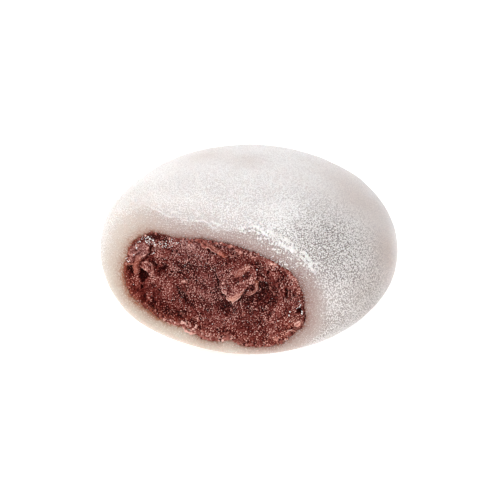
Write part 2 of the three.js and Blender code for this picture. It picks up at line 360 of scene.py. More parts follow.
class Nodes:
    """Short names for the shader nodes that the materials are made of."""

    def __init__(self, name):
        self.material = bpy.data.materials.new(name)
        self.material.use_nodes = True
        self.tree = self.material.node_tree
        self.tree.nodes.clear()
        self.out = self.tree.nodes.new("ShaderNodeOutputMaterial")

    def link(self, a, b):
        self.tree.links.new(a, b)

    def put(self, socket, value):
        if hasattr(value, "links"):
            self.link(value, socket)
        else:
            socket.default_value = value

    def attr(self, name):
        n = self.tree.nodes.new("ShaderNodeAttribute")
        n.attribute_name = name
        return n.outputs["Fac"]

    def coords(self, scale=1.0):
        n = self.tree.nodes.new("ShaderNodeTexCoord")
        if scale == 1.0:
            return n.outputs["Object"]
        m = self.tree.nodes.new("ShaderNodeMapping")
        m.inputs["Scale"].default_value = (scale, scale, scale) if not hasattr(scale, "__len__") else scale
        self.link(n.outputs["Object"], m.inputs["Vector"])
        return m.outputs["Vector"]

    def shifted(self, by):
        """The object's place, moved, so that a second noise differs from the first."""
        m = self.tree.nodes.new("ShaderNodeMapping")
        m.inputs["Location"].default_value = (by, 1.7 * by, -0.6 * by)
        self.link(self.coords(), m.inputs["Vector"])
        return m.outputs["Vector"]

    def noise(self, scale, detail=3.0, rough=0.5, vector=None, lacunarity=2.0, distortion=0.0):
        n = self.tree.nodes.new("ShaderNodeTexNoise")
        n.inputs["Scale"].default_value = scale
        n.inputs["Detail"].default_value = detail
        n.inputs["Roughness"].default_value = rough
        n.inputs["Lacunarity"].default_value = lacunarity
        n.inputs["Distortion"].default_value = distortion
        self.link(vector if vector is not None else self.coords(), n.inputs["Vector"])
        return n.outputs["Fac"]

    def voronoi(self, scale, feature="F1", vector=None, output="Distance", randomness=1.0):
        n = self.tree.nodes.new("ShaderNodeTexVoronoi")
        n.feature = feature
        n.inputs["Scale"].default_value = scale
        n.inputs["Randomness"].default_value = randomness
        self.link(vector if vector is not None else self.coords(), n.inputs["Vector"])
        return n.outputs[output]

    def math(self, op, a, b=0.0, c=None, clamp=False):
        n = self.tree.nodes.new("ShaderNodeMath")
        n.operation = op
        n.use_clamp = clamp
        self.put(n.inputs[0], a)
        self.put(n.inputs[1], b)
        if c is not None:
            self.put(n.inputs[2], c)
        return n.outputs[0]

    def fit(self, value, a, b, c=0.0, d=1.0, smooth=False):
        n = self.tree.nodes.new("ShaderNodeMapRange")
        n.interpolation_type = "SMOOTHSTEP" if smooth else "LINEAR"
        self.put(n.inputs["Value"], value)
        self.put(n.inputs["From Min"], a)
        self.put(n.inputs["From Max"], b)
        self.put(n.inputs["To Min"], c)
        self.put(n.inputs["To Max"], d)
        return n.outputs["Result"]

    def mix(self, factor, a, b, blend="MIX"):
        n = self.tree.nodes.new("ShaderNodeMix")
        n.data_type = "RGBA"
        n.blend_type = blend
        n.clamp_factor = True
        self.put(n.inputs[0], factor)
        for socket, value in ((n.inputs[6], a), (n.inputs[7], b)):
            if hasattr(value, "links"):
                self.link(value, socket)
            else:
                socket.default_value = (*linear(value), 1.0)
        return n.outputs[2]

    def ramp(self, value, stops):
        n = self.tree.nodes.new("ShaderNodeValToRGB")
        e = n.color_ramp.elements
        while len(e) < len(stops):
            e.new(0.5)
        for el, (at, rgb) in zip(e, stops):
            el.position = at
            el.color = (*linear(rgb), 1.0)
        self.link(value, n.inputs["Fac"])
        return n.outputs["Color"]

    def bump(self, height, strength, distance, normal=None):
        n = self.tree.nodes.new("ShaderNodeBump")
        n.inputs["Strength"].default_value = strength
        n.inputs["Distance"].default_value = distance
        self.link(height, n.inputs["Height"])
        if normal is not None:
            self.link(normal, n.inputs["Normal"])
        return n.outputs["Normal"]

    def principled(self, **inputs):
        n = self.tree.nodes.new("ShaderNodeBsdfPrincipled")
        for key, value in inputs.items():
            self.put(n.inputs[key.replace("_", " ")], value)
        self.link(n.outputs["BSDF"], self.out.inputs["Surface"])
        return n


# ---------------------------------------------------------------------------
# 1. The rice skin
# ---------------------------------------------------------------------------
COLUMNS, OUTER, INNER, FINE = 560, 146, 14, 420

around = np.linspace(0, 2 * np.pi, COLUMNS, endpoint=False)
mouth_away = away_at(around, mouth(around))

t = np.linspace(0, 1, FINE)
# fine steps crowd towards the mouth, where the rim turns
away = mouth_away[:, None] + (np.pi - mouth_away[:, None]) * t[None, :] ** 1.5
d = rays(around[:, None], away)
outer_fine = START + d * reach(cut_cake, d)[..., None]
seg = np.linalg.norm(np.diff(outer_fine, axis=1), axis=-1)
from_mouth = np.cumsum(seg, 1)
weight = 0.75 + 2.2 * np.exp(-((from_mouth / 7.0) ** 2))
outer = resample(outer_fine, weight, OUTER)

away_in = mouth_away[:, None] + (np.pi - mouth_away[:, None]) * np.linspace(0, 1, 120)[None, :] ** 1.4
d_in = rays(around[:, None], away_in)
inner_fine = START + d_in * hollow(around[:, None] + 0 * away_in, away_in, mouth_away[:, None])[..., None]
inner = resample(inner_fine, np.ones((COLUMNS, 119)), INNER)


def gradient(f, p, e=0.02):
    g = np.stack([f(p + np.eye(3)[k] * e) - f(p - np.eye(3)[k] * e) for k in range(3)], -1)
    return g / np.linalg.norm(g, axis=-1)[..., None]


# distance from the mouth's edge along each column
seg = np.linalg.norm(np.diff(outer, axis=1), axis=-1)
run = np.concatenate([np.zeros((COLUMNS, 1)), np.cumsum(seg, 1)], 1)
x, y, h = on_cut(outer)
normal = gradient(cut_cake, outer)
above_base = step((outer[..., 2] + UNDERSIDE_DROP - 0.15) / 3.0)
turned = np.degrees(around) % 360


def round_mouth(knots):
    """A value for each column, from (degrees round the mouth, value) knots."""
    at = np.array([k[0] for k in knots], float)
    value = np.array([k[1] for k in knots], float)
    at = np.concatenate([at[-1:] - 360, at, at[:1] + 360])
    value = np.concatenate([value[-1:], value, value[:1]])
    return np.interp(turned, at, value)[:, None]


# Where the starch begins, in millimetres from the mouth: a broken crust over
# the top of the rim, a soft edge at the sides and the foot.
starch_line = round_mouth([(20, 3.4), (30, 3.9), (46, 4.0), (61, 4.4), (72, 2.9), (80, 2.4), (87, 2.0), (93, 2.6), (99, 3.1),
                           (118, 3.4), (130, 4.1), (142, 6.2), (160, 5.6), (182, 5.0), (205, 6.5), (250, 6.5), (300, 6.0),
                           (330, 4.4), (345, 3.2)])
starch_soft = round_mouth([(10, 2.6), (25, 2.2), (40, 1.8), (60, 1.6), (90, 1.4), (130, 1.8), (145, 2.6), (165, 3.6), (250, 3.5), (300, 3.2), (335, 3.0)])
crusted = round_mouth([(15, 0.0), (28, 0.8), (40, 1.0), (130, 1.0), (142, 0.8), (158, 0.0), (340, 0.0)])
ragged = 0.30 * fbm(outer / 2.6, 2, 11.0) + 0.12 * perlin(outer / 0.75, 12.0)
past = run - starch_line + ragged
dusted = step(past / starch_soft + 0.5)
crack = bell(past - 0.10, 0.11) * crusted * (0.25 + 0.75 * step((perlin(outer / 1.9, 21.0) + 0.30) / 0.45))
crack2 = bell(past - 1.1 - 0.8 * perlin(outer / 2.8, 23.0), 0.16) * crusted * step((perlin(outer / 2.4, 24.0) - 0.05) / 0.3)

bare = 1 - dusted
y_world = outer[..., 1]
side = step((x - 2) / 12.0) * step((15.0 - outer[..., 2]) / 9.0)       # the right side is brushed, its dust broken
big = 0.28 * fbm(outer / 12.0, 3, 31.0) + 0.07 * fbm(outer / 3.6, 3, 33.0) * dusted
rise = big * above_base * (0.30 + 0.70 * step((run - 1.0) / 5.0))
rise = rise + 0.03 * dusted * crusted + 0.10 * crack + 0.06 * crack2
# the front and right are brushed, with broken, sandy starch; the top and back are smooth
sandy = (0.07 + 0.14 * step(-y_world / 8.0) + 0.75 * step((x - 2) / 20.0) * step((6.0 - y_world) / 12.0)) * step((outer[..., 2] + 8.5) / 6.0)
sandy = np.clip(sandy * (0.90 + 0.35 * fbm(outer / 6.0, 2, 37.0)), 0, 1)
shoulder = bell(np.linalg.norm(outer - np.array([9.5, -7.5, 13.5]), axis=-1), 4.5) + bell(np.linalg.norm(outer - np.array([22.3, -15.0, 3.2]), axis=-1), 4.5)
sandy = sandy * (1 - 0.62 * np.clip(shoulder, 0, 1))
grainy = (0.25 + 0.75 * sandy) * dusted
rise = rise + (0.018 + 0.012 * (1 - sandy)) * fbm(outer / 0.75, 2, 35.0) * np.maximum(grainy, 0.4 * dusted) * above_base
# the cut ring: faint drag marks, and a soft lip at the paste
rise = rise + 0.035 * fbm(outer / 1.5, 3, 36.0) * bare + 0.05 * bell(run - 0.7, 0.5) - 0.02 * bell(run, 0.18)
outer_out = outer + normal * rise[..., None]
outer_out[..., 2] = np.maximum(outer_out[..., 2], -UNDERSIDE_DROP)

# cream_and_lit: a brighter, creamier copy of the dough and starch at the left and the foot, which paints the light
# glowing through the dough there; the mauve dough elsewhere is the shaded copy
cream_and_lit = round_mouth([(20, 0.0), (60, 0.0), (130, 0.15), (160, 0.8), (190, 1.0), (250, 1.0), (300, 0.8), (330, 0.4)]) * np.exp(-run / 9.5)
# how much of the surface is covered with starch
cover_ring = 0.08 + 0.42 * np.clip(run / starch_line, 0, 1) ** 1.5 * round_mouth([(8, 0.18), (35, 0.9), (140, 1.0), (165, 0.6), (200, 0.25), (300, 0.25), (340, 0.18)])
cover_far = 0.72 - 0.07 * sandy + 0.12 * fbm(outer / 7.0, 3, 38.0) - 0.20 * cream_and_lit


def patch(x0, y0, z0, wide):
    return bell(np.linalg.norm(outer - np.array([x0, y0, z0]), axis=-1), wide)


# painted light and shade in the starch cover: thicker starch on the shoulder and more on the right side paints their
# highlight; thin_and_shaded is thinner starch in patches, and also paints the shade on the right side and its edge
thick_and_lit = np.clip(0.8 * patch(8.5, -8.7, 13.5, 4.2) + 0.5 * patch(14.1, -9.4, 11.8, 3.2) + 0.4 * patch(4.0, -6.0, 15.0, 3.0), 0, 1)
thin_and_shaded = np.clip(0.4 * patch(14.2, 11.1, 11.4, 6.5) + 0.4 * patch(17.9, 5.3, 11.1, 4.5) + 0.45 * patch(-11.7, 5.7, 13.3, 4.5)
               + 0.4 * patch(-2.9, 4.6, 14.8, 3.5) + 0.9 * patch(26.4, 1.5, 3.6, 5.0) + 0.4 * patch(25.5, -7.0, 1.5, 4.5) + 0.4 * patch(23.0, 8.0, 7.5, 6.0), 0, 1)
cover_far = cover_far + 0.10 * thick_and_lit + 0.08 * np.clip(shoulder, 0, 1) + 0.21 * patch(22.0, -4.0, 8.0, 6.5) - 0.17 * thin_and_shaded - 0.18 * bell(past - 0.8, 1.3) * crusted * step((8 - x) / 9)
cover = cover_ring * bare + cover_far * dusted + 0.15 * np.clip(crack + crack2, 0, 1)
columns = np.concatenate([outer_out[:, ::-1], inner[:, 1:]], 1)   # back pole .. mouth .. back pole
count = columns.shape[1]


def along(values, inside):
    return np.concatenate([values[:, ::-1], np.full((COLUMNS, INNER), inside)], 1)


stain = round_mouth([(0, 1.9), (20, 1.6), (60, 1.1), (100, 1.1), (128, 1.6), (150, 2.1), (175, 2.6), (200, 2.1), (225, 1.2), (250, 1.55), (300, 1.45), (335, 1.5)])
attrs = {
    "cover": along(np.clip(cover, 0, 1), 0.0),
    "crack": along(np.clip(crack + 0.7 * crack2, 0, 1) * (1 - 0.85 * step((outer[..., 0] + 0.5) / 4) * step((perlin(outer / 0.50, 31.0) + 0.16) / 0.22)), 0.0),
    "near": along(np.exp(-run / (0.5 * stain)), 1.0),
    "wide": along(np.exp(-run / (2.2 * stain)), 1.0),
    "cream_and_lit": along(cream_and_lit, 0.3),
    "side": along(side, 0.0),
    "sandy": along(np.clip(sandy * (0.35 + 0.65 * dusted), 0, 1), 0.0),
    "thin_and_shaded": along(thin_and_shaded, 0.0),
    "bare": along(bare * (1 - cream_and_lit), 0.0),
}

# one vertex at each pole
poles = [columns[:, 0].mean(0), columns[:, -1].mean(0)]
body = columns[:, 1:-1]
rows = body.shape[1]
index = np.arange(COLUMNS * rows).reshape(COLUMNS, rows)
nxt = np.roll(index, -1, 0)
quads = np.stack([index[:, :-1], nxt[:, :-1], nxt[:, 1:], index[:, 1:]], -1).reshape(-1, 4)
p0, p1 = COLUMNS * rows, COLUMNS * rows + 1
tris = np.concatenate([
    np.stack([np.full(COLUMNS, p0), nxt[:, 0], index[:, 0]], -1),
    np.stack([np.full(COLUMNS, p1), index[:, -1], nxt[:, -1]], -1),
])
verts = np.concatenate([body.reshape(-1, 3), np.array(poles)])
attrs = {k: np.concatenate([v[:, 1:-1].ravel(), [v[:, 0].mean(), v[:, -1].mean()]]) for k, v in attrs.items()}
skin = make("rice_skin", verts, quads, attrs, tris)

s = Nodes("rice_skin")
cover_a, near, wide = s.attr("cover"), s.attr("near"), s.attr("wide")
side_a, creamy_lit = s.attr("side"), s.attr("cream_and_lit")
turn = s.tree.nodes.new("ShaderNodeMapping")
turn.inputs["Rotation"].default_value = (math.radians(-31), 0.0, 0.0)
s.link(s.coords(), turn.inputs["Vector"])
brushed = s.tree.nodes.new("ShaderNodeMapping")
brushed.inputs["Scale"].default_value = (1.0, 0.40, 1.0)
s.link(turn.outputs["Vector"], brushed.inputs["Vector"])
sandy_a = s.attr("sandy")
even_grain = s.noise(4900, 0.0, 0.5)
drawn_grain = s.noise(5000, 0.0, 0.5, brushed.outputs["Vector"])
streaks = s.math("MULTIPLY", side_a, s.fit(s.noise(120, 2.0), 0.40, 0.60))
grain = s.math("ADD", s.math("MULTIPLY", even_grain, s.math("SUBTRACT", 1.0, streaks)), s.math("MULTIPLY", drawn_grain, streaks))
dots = s.fit(s.voronoi(4300, randomness=0.80), 0.10, 0.70, 1.0, 0.0)
fine = s.noise(6200, 2.0, 0.6)
patch_a = s.noise(150, 4.0, 0.55)
mixed = s.math("ADD", s.math("MULTIPLY", dots, 0.75), s.math("MULTIPLY", s.fit(grain, 0.25, 0.75), 0.25))
threshold = s.fit(cover_a, 0.0, 1.0, 0.80, 0.22)
powdered = s.math("MULTIPLY_ADD", s.math("SUBTRACT", mixed, threshold), s.fit(s.attr("bare"), 0.0, 1.0, 8.0, 2.0), 0.5, clamp=True)
# gap: the dough between the starch grains, made very dark where the starch is sandy, which paints the shade between the
# grains
gap = s.mix(sandy_a, (229, 223, 222), (84, 62, 54))
# thin_and_shaded greys the dough and the starch: thin starch, and painted shade on the right side
gap = s.mix(s.math("MULTIPLY", s.attr("thin_and_shaded"), 0.7), gap, (188, 170, 164))
dough = s.mix(s.attr("bare"), gap, (184, 167, 163))
# painted light: the lit, creamy copy of the dough at the left and the foot
dough = s.mix(creamy_lit, dough, (229, 222, 207))
spotty = s.fit(s.noise(2600, 2.0, 0.6), 0.32, 0.68, 0.60, 1.30)
dough = s.mix(s.math("MULTIPLY", s.math("MULTIPLY", wide, 0.70), s.fit(spotty, 0.0, 1.25, 0.6, 1.15)), dough, s.mix(creamy_lit, (160, 126, 118), (188, 168, 152)))
dough = s.mix(s.math("MULTIPLY", near, spotty), dough, s.mix(creamy_lit, (118, 64, 52), (154, 94, 66)))
powder = s.mix(s.fit(patch_a, 0.35, 0.65), (255, 253, 252), (248, 244, 243))
powder = s.mix(s.math("MULTIPLY", s.attr("thin_and_shaded"), 0.95), powder, (214, 199, 189))
powder = s.mix(s.math("MULTIPLY", creamy_lit, 0.7), powder, (250, 243, 230))
powder = s.mix(s.math("MULTIPLY", wide, 0.4), powder, (228, 210, 206))
colour = s.mix(powdered, dough, powder)
colour = s.mix(s.math("MULTIPLY", s.attr("crack"), 1.1), colour, (255, 252, 250))
height = s.math("ADD", powdered, s.math("MULTIPLY", fine, 0.5))
bump = s.bump(height, 1.0, 0.00010)
shader = s.principled(Base_Color=colour, Roughness=s.fit(powdered, 0.0, 1.0, 0.36, 0.85), Normal=bump,
                      Subsurface_Weight=s.math("MULTIPLY", s.fit(powdered, 0.0, 1.0, 0.65, 0.25), s.fit(sandy_a, 0.0, 0.6, 1.0, 0.3)))
shader.inputs["Subsurface Radius"].default_value = (1.0, 0.62, 0.5)
shader.inputs["Subsurface Scale"].default_value = 0.0020
shader.inputs["IOR"].default_value = 1.42
skin.data.materials.append(s.material)
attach(skin, "root")
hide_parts("mochi_skin")

def on_ring(turn, far):
    """Places on the rice skin at an angle round the mouth and a distance from it."""
    u = (turn / (2 * np.pi) * COLUMNS) % COLUMNS
    i = u.astype(int)
    j = np.array([np.searchsorted(run[a], f) for a, f in zip(i, far)]).clip(1, OUTER)
    t = ((far - run[i, j - 1]) / (run[i, j] - run[i, j - 1]))[:, None]
    return outer_out[i, j - 1] * (1 - t) + outer_out[i, j] * t, normal[i, j]


# starch: fine grains all over, thin on the cut ring, and clumps along the crust
on_top = step((outer[..., 2] + UNDERSIDE_DROP - 0.3) / 1.5)
density = (1 - 0.5 * np.clip(shoulder, 0, 1)) * (0.10 + 0.7 * dusted + 0.5 * np.clip(run / starch_line, 0, 1) * bare - 0.45 * cream_and_lit) * (0.35 + 3.2 * sandy) * on_top
at, i, j = spread(outer_out, np.maximum(density, 0), 20000, 71, True)
size = 0.040 + 0.025 * np.random.default_rng(72).random(len(at)) ** 2 + 0.022 * sandy[i, j]
at = even_out(at, normal[i, j], 0.34, 3)
grains = blobs("starch_grains", at, normal[i, j], size, 8, {"tone": np.random.default_rng(73).random(len(at))}, 74, 0.8, 0.25, 0.1, 0.3)
heaped = bell(past - 0.3, 0.9) * crusted * step((outer[..., 0] + 0.5) / 5) * step((perlin(outer / 1.1, 25.0) + 0.05) / 0.30)
lumps = np.clip(crack + 0.8 * crack2, 0, 1) ** 1.5 + 0.05 * bell(past, 1.2) * crusted + 0.035 * heaped
at, i, j = spread(outer_out, lumps * on_top * (0.35 + step((outer[..., 0] - 2) / 6)), 980, 75, True)
size = (0.045 + 0.10 * np.random.default_rng(76).random(len(at)) ** 3) * (0.7 + 0.8 * step((at[:, 0] - 1) / 6))
# and a sprinkle of larger white grains by the rim at the right: starch, and painted glints there as well
rng = np.random.default_rng(79)
turn_each = np.radians(rng.normal(29, 5.0, 90))
more, more_out = on_ring(turn_each, np.abs(rng.normal(0.3, 0.9, 90)) + 0.05)
at, size = np.concatenate([at, more]), np.concatenate([size, 0.045 + 0.075 * rng.random(90) ** 2])
clumps = blobs("starch_clumps", at, np.concatenate([normal[i, j], more_out]), size, 80, {"tone": np.random.default_rng(77).random(len(at))}, 78, 0.55, 0.38, 0.14, 0.45)
w = Nodes("starch")
bright = w.mix(w.attr("tone"), (248, 240, 238), (255, 252, 251))
shader = w.principled(Base_Color=w.mix(w.math("MULTIPLY", w.noise(6000, 2.0), 0.3), bright, (226, 212, 206)),
                      Roughness=w.fit(w.noise(3000, 1.0), 0.3, 0.7, 0.35, 0.6), Normal=w.bump(w.noise(9000, 2.0), 0.4, 0.00002))
shader.inputs["Subsurface Weight"].default_value = 0.15
shader.inputs["Subsurface Scale"].default_value = 0.0002
for piece in (grains, clumps):
    piece.data.materials.append(w.material)
    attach(piece, "root")

# ---------------------------------------------------------------------------
# 2. The bean paste
# ---------------------------------------------------------------------------
NS, NT = 384, 192
gs, gt = np.meshgrid(np.linspace(-1, 1, NS + 1), np.linspace(-1, 1, NT + 1), indexing="ij")
m = np.maximum(np.abs(gs), np.abs(gt))
phi = np.arctan2(MOUTH_H * gt, MOUTH_W * gs + 1e-12)
radius = mouth(phi)
px = MOUTH_X + m * radius * np.cos(phi)
py = MOUTH_Y + m * radius * np.sin(phi)
base = slump(px, py)
# the same place seen straight along the camera's line on the unslumped cut
fx, fy = px - 0.437 * base, py - 0.506 * base
inset = (1 - m) * radius                   # distance to the outline


def polygon(points, x, y):
    """Signed distance to a polygon, less than 0 inside."""
    pts = np.asarray(points, float)
    d2 = np.full(x.shape, 1e9)
    inside = np.zeros(x.shape, bool)
    for (ax, ay), (bx, by) in zip(pts, np.roll(pts, -1, 0)):
        ex, ey = bx - ax, by - ay
        k = np.clip(((x - ax) * ex + (y - ay) * ey) / (ex * ex + ey * ey), 0, 1)
        d2 = np.minimum(d2, (x - ax - k * ex) ** 2 + (y - ay - k * ey) ** 2)
        cross = ((ay > y) != (by > y)) & (x < (bx - ax) * (y - ay) / (by - ay + 1e-12) + ax)
        inside ^= cross
    return np.where(inside, -1, 1) * np.sqrt(d2)


def line(points, x, y):
    """Distance to a line of points, and how far along it, 0 to 1."""
    pts = np.asarray(points, float)
    lengths = np.hypot(*np.diff(pts, axis=0).T)
    total, gone = lengths.sum(), 0.0
    best = np.full(x.shape, 1e9)
    where = np.zeros(x.shape)
    for (ax, ay), (bx, by), length in zip(pts[:-1], pts[1:], lengths):
        ex, ey = bx - ax, by - ay
        k = np.clip(((x - ax) * ex + (y - ay) * ey) / (ex * ex + ey * ey), 0, 1)
        d = np.hypot(x - ax - k * ex, y - ay - k * ey)
        where = np.where(d < best, (gone + k * length) / total, where)
        best = np.minimum(best, d)
        gone += length
    return best, where


P3 = np.stack([fx, fy, np.zeros_like(fx)], -1)
warp = np.stack([perlin(P3 / 0.9, 41.0), perlin(P3 / 0.9, 43.0)], -1) * 0.28
warp = warp + np.stack([perlin(P3 / 0.35, 44.0), perlin(P3 / 0.35, 45.0)], -1) * 0.10
wx, wy = fx + warp[..., 0], fy + warp[..., 1]

rise = 0.34 * fbm(P3 / 4.6, 2, 51.0) + 0.20 * fbm(P3 / 2.0, 2, 53.0)
rise = rise + 0.26 * (0.24 - np.abs(perlin(P3 / 2.1 + warp[..., :1], 54.0))) + 0.08 * (0.2 - np.abs(perlin(P3 / 0.8, 55.0)))
# light: painted light and shade on the paste, added to its tone
pale_and_lit, wet, red, smooth, light = (np.zeros_like(fx) for _ in range(5))


def slab(points, height, soft, tilt=(0, 0), lip=0.0, lip_side=None):
    """A raised flake with a steep edge. tilt = height change per mm along x, y, about its middle."""
    global rise, pale_and_lit
    d = polygon(points, wx, wy)
    top = step(-d / soft + 0.5)
    cx, cy = np.mean(points, 0)
    lift = np.clip(height + tilt[0] * (fx - cx) + tilt[1] * (fy - cy), 0, 2.0)
    edge = bell(d + 0.30, 0.30)
    side = 1.0
    if lip_side is not None:
        side = step(((fx - cx) * lip_side[0] + (fy - cy) * lip_side[1]) / 1.6)
    rise = rise + top * lift + lip * edge * side
    pale_and_lit = np.maximum(pale_and_lit, edge * side * (1.0 if lip else 0.0))
    return d


def dent(x0, y0, a, b, turn, depth, power=1.0):
    global rise
    k = math.radians(turn)
    dx, dy = wx - x0, wy - y0
    u = (dx * math.cos(k) + dy * math.sin(k)) / a
    v = (-dx * math.sin(k) + dy * math.cos(k)) / b
    shape = np.exp(-((u * u + v * v) ** power))
    rise = rise + depth * shape
    return shape


def tube(points, radius, height, colour=0.0, level=None):
    """A round ridge along a line. With a level, it bridges whatever lies under it."""
    global rise, pale_and_lit
    d, k = line(points, wx, wy)
    shape = np.sqrt(np.clip(1 - (d / radius) ** 2, 0, 1))
    rise = rise + height * shape if level is None else np.where(shape > 0, np.maximum(rise, level + height * shape), rise)
    pale_and_lit = np.maximum(pale_and_lit, colour * shape ** 0.5)
    return shape


def pocket(points, depth, soft=0.35, shade=0.2):
    """A torn hole with steep sides; shade paints its shadow darker."""
    global rise, light
    shape = step(-polygon(points, wx, wy) / soft + 0.4)
    rise = rise - depth * shape
    light = light - shade * shape
    return shape


def groove(points, wide, depth, taper=True):
    global rise
    d, k = line(points, wx, wy)
    shape = bell(d, wide) * (np.sin(np.pi * np.clip(k, 0.02, 0.98)) ** 0.5 if taper else 1)
    rise = rise + depth * shape
    return shape


# right of the middle: a torn flake that rises towards its lower corner
tint = np.zeros_like(fx)
slab([(0.9, 0.9), (1.9, 2.4), (3.4, 3.7), (5.3, 4.4), (7.2, 4.2), (8.5, 3.2), (8.8, 1.8), (8.3, 0.9), (7.3, 0.3), (6.9, -0.6), (6.45, -1.1),
      (5.75, -2.25), (4.60, -3.50), (3.95, -3.15), (3.0, -2.6), (2.2, -2.1), (1.9, -1.4), (1.5, -0.4)],
     0.38, 0.28, (0.04, -0.075))
groove([(0.3, 0.7), (1.2, -0.5), (1.6, -1.6), (2.2, -2.6), (3.2, -3.4), (4.2, -4.1)], 0.28, -0.40)
TIP = [(3.1, -2.75), (3.75, -2.85), (4.7, -2.35), (5.6, -1.6), (6.4, -1.1), (5.72, -2.28), (4.55, -3.62), (3.95, -3.2)]
torn = slab(TIP, 0.12, 0.25, (0.0, -0.10))
corner = step(-polygon([(3.7, -3.0), (4.60, -3.7), (5.75, -2.25), (4.75, -2.75)], fx + 0.4 * warp[..., 0], fy + 0.4 * warp[..., 1]) / 0.2 + 0.5)
# painted highlight: the torn corner and the lips of the flake, which catch the light, are painted pale
pale_and_lit = np.maximum(pale_and_lit, 0.30 * step(-torn / 0.25 + 0.5) + 0.95 * corner)
tint = np.maximum(tint, 0.8 * step(-torn / 0.3 + 0.6))
tube([(2.2, -2.1), (3.0, -2.65), (3.9, -3.15), (4.55, -3.6)], 0.15, 0.16, 0.60)
tube([(4.55, -3.6), (5.15, -2.95), (5.8, -2.25), (6.45, -1.2)], 0.15, 0.18, 0.60)
# painted shade in the groove under the flake's edge
light = light - 0.16 * groove([(4.95, -3.75), (5.65, -2.95), (6.3, -2.05)], 0.24, -0.40)
dent(2.55, -0.55, 0.30, 0.26, 30, 0.25)
pale_and_lit = np.maximum(pale_and_lit, bell(fx - 2.5, 0.26) * bell(fy + 0.5, 0.30))
pocket([(3.2, 2.15), (3.4, 2.5), (3.8, 2.6), (3.7, 2.25)], 0.9, 0.2, 0.45)
pocket([(3.1, -0.4), (3.4, -0.3), (3.7, -0.6), (3.4, -0.75)], 0.4, 0.3, 0.15)
pocket([(6.1, 1.8), (6.3, 2.3), (6.7, 2.0)], 0.5, 0.3, 0.25)
fold = tube([(4.9, 1.6), (5.6, 2.3), (6.3, 3.0), (6.9, 3.7)], 0.55, 0.30, 0.12)
tint = np.maximum(tint, 0.5 * fold)
tube([(2.4, 0.2), (3.4, 1.2), (4.4, 2.2)], 0.30, 0.14, 0.06)
tube([(5.6, 0.0), (6.6, 0.8), (8.0, 2.0)], 0.24, 0.16, 0.10)
slab([(7.5, 1.4), (8.5, 1.5), (8.9, 0.5), (8.85, -0.3), (8.4, -1.1), (7.6, -1.6), (7.0, -1.3), (7.1, -0.6), (7.6, 0.3)], 0.36, 0.35, (0.10, 0.0))
hook = tube([(8.6, 1.3), (8.8, 0.4), (8.7, -0.3), (8.25, -1.0), (7.5, -1.45), (7.1, -1.1)], 0.24, 0.20, 0.34)
tint = np.maximum(tint, 0.9 * hook * step((fx - 7.3) / 0.8))
dent(7.85, -0.3, 0.38, 0.65, -15, -0.32)
dent(10.7, -1.2, 2.4, 2.5, 20, -0.85, 1.4)
dent(9.95, 0.0, 0.50, 1.5, -12, -0.65)
dent(7.0, -2.9, 1.6, 0.9, 30, -0.40)
dent(9.6, 1.9, 0.9, 0.45, 0, 0.40)
dent(11.6, 3.5, 0.9, 0.7, 0, 0.35)
tube([(11.0, 0.6), (11.3, 0.1), (11.9, -0.6)], 0.20, 0.28, 0.42)
tube([(13.5, -1.4), (13.2, -3.2), (12.4, -4.6), (11.2, -5.6)], 0.75, 0.18)
band = groove([(7.6, 5.7), (9.6, 5.8), (11.7, 5.6), (13.4, 5.1), (14.6, 4.4), (15.8, 3.2), (16.6, 1.8), (16.7, 0.6)], 0.34, 0.12, False)
slit, _ = line([(14.25, 1.2), (14.35, 0.3), (14.4, -0.4)], fx, fy)
rise = rise - 1.2 * bell(slit, 0.16)
# painted shade inside the slit
light = light - 1.2 * bell(slit, 0.17)
pocket([(10.4, 3.9), (10.9, 3.7), (10.9, 2.9), (10.5, 3.0)], 0.5, 0.4, 0.22)
pocket([(7.9, 4.9), (8.7, 4.8), (8.9, 4.2), (8.3, 4.3)], 0.4, 0.4, 0.15)
pocket([(16.5, -2.0), (17.1, -1.8), (17.3, -2.3), (17.1, -2.9), (16.6, -2.8)], 0.8, 0.5, 0.42)
# crumbly heel on the right
slab([(16.2, -5.2), (16.9, -4.5), (17.7, -3.9), (17.9, -4.4), (17.3, -5.0), (16.5, -5.6)], 0.28, 0.30, (0, 0), 0.06)
pale_and_lit = np.maximum(pale_and_lit, 0.55 * step(-polygon([(16.2, -5.2), (16.9, -4.5), (17.7, -3.9), (17.9, -4.4), (17.3, -5.0), (16.5, -5.6)], wx, wy) / 0.3 + 0.4))
tube([(15.0, -7.2), (15.6, -6.8), (16.2, -6.3)], 0.26, 0.22, 0.50)
tube([(14.6, -7.7), (15.2, -7.5)], 0.20, 0.16, 0.40)
dent(15.3, -5.0, 1.4, 1.0, 40, 0.35)
dent(13.2, -8.7, 1.1, 0.45, 15, 0.28)
pale_and_lit = np.maximum(pale_and_lit, 0.45 * bell(fx - 13.0, 0.9) * bell(fy + 8.8, 0.35))
dent(12.2, -5.6, 2.0, 1.6, 10, 0.18)
tube([(8.8, -5.6), (9.5, -6.1)], 0.18, 0.16, 0.6)
# left end: a wet lobe, a finger and a curl round a deep pocket
lobe = slab([(-17.3, -1.0), (-17.2, 0.2), (-16.3, 1.9), (-14.9, 2.9), (-13.5, 3.1), (-12.7, 2.7), (-12.8, 1.5), (-13.3, 0.7), (-14.2, 0.1),
             (-15.4, -0.9), (-16.4, -1.5)], 0.26, 0.8)
lobe = step(-lobe / 0.8 + 0.5)
groove([(-16.6, 0.3), (-15.4, 1.3), (-14.1, 2.3)], 0.26, -0.30)
groove([(-15.9, -0.5), (-14.9, 0.6), (-13.8, 1.7)], 0.20, -0.26)
groove([(-17.0, 0.9), (-15.9, 1.9), (-14.8, 2.7)], 0.20, -0.22)
tube([(-12.6, 2.6), (-12.75, 1.5), (-13.3, 0.8), (-14.0, 0.3)], 0.26, 0.26, 0.10)
groove([(-12.2, 3.0), (-12.35, 1.7), (-12.9, 0.7), (-13.4, 0.2)], 0.22, -0.50)
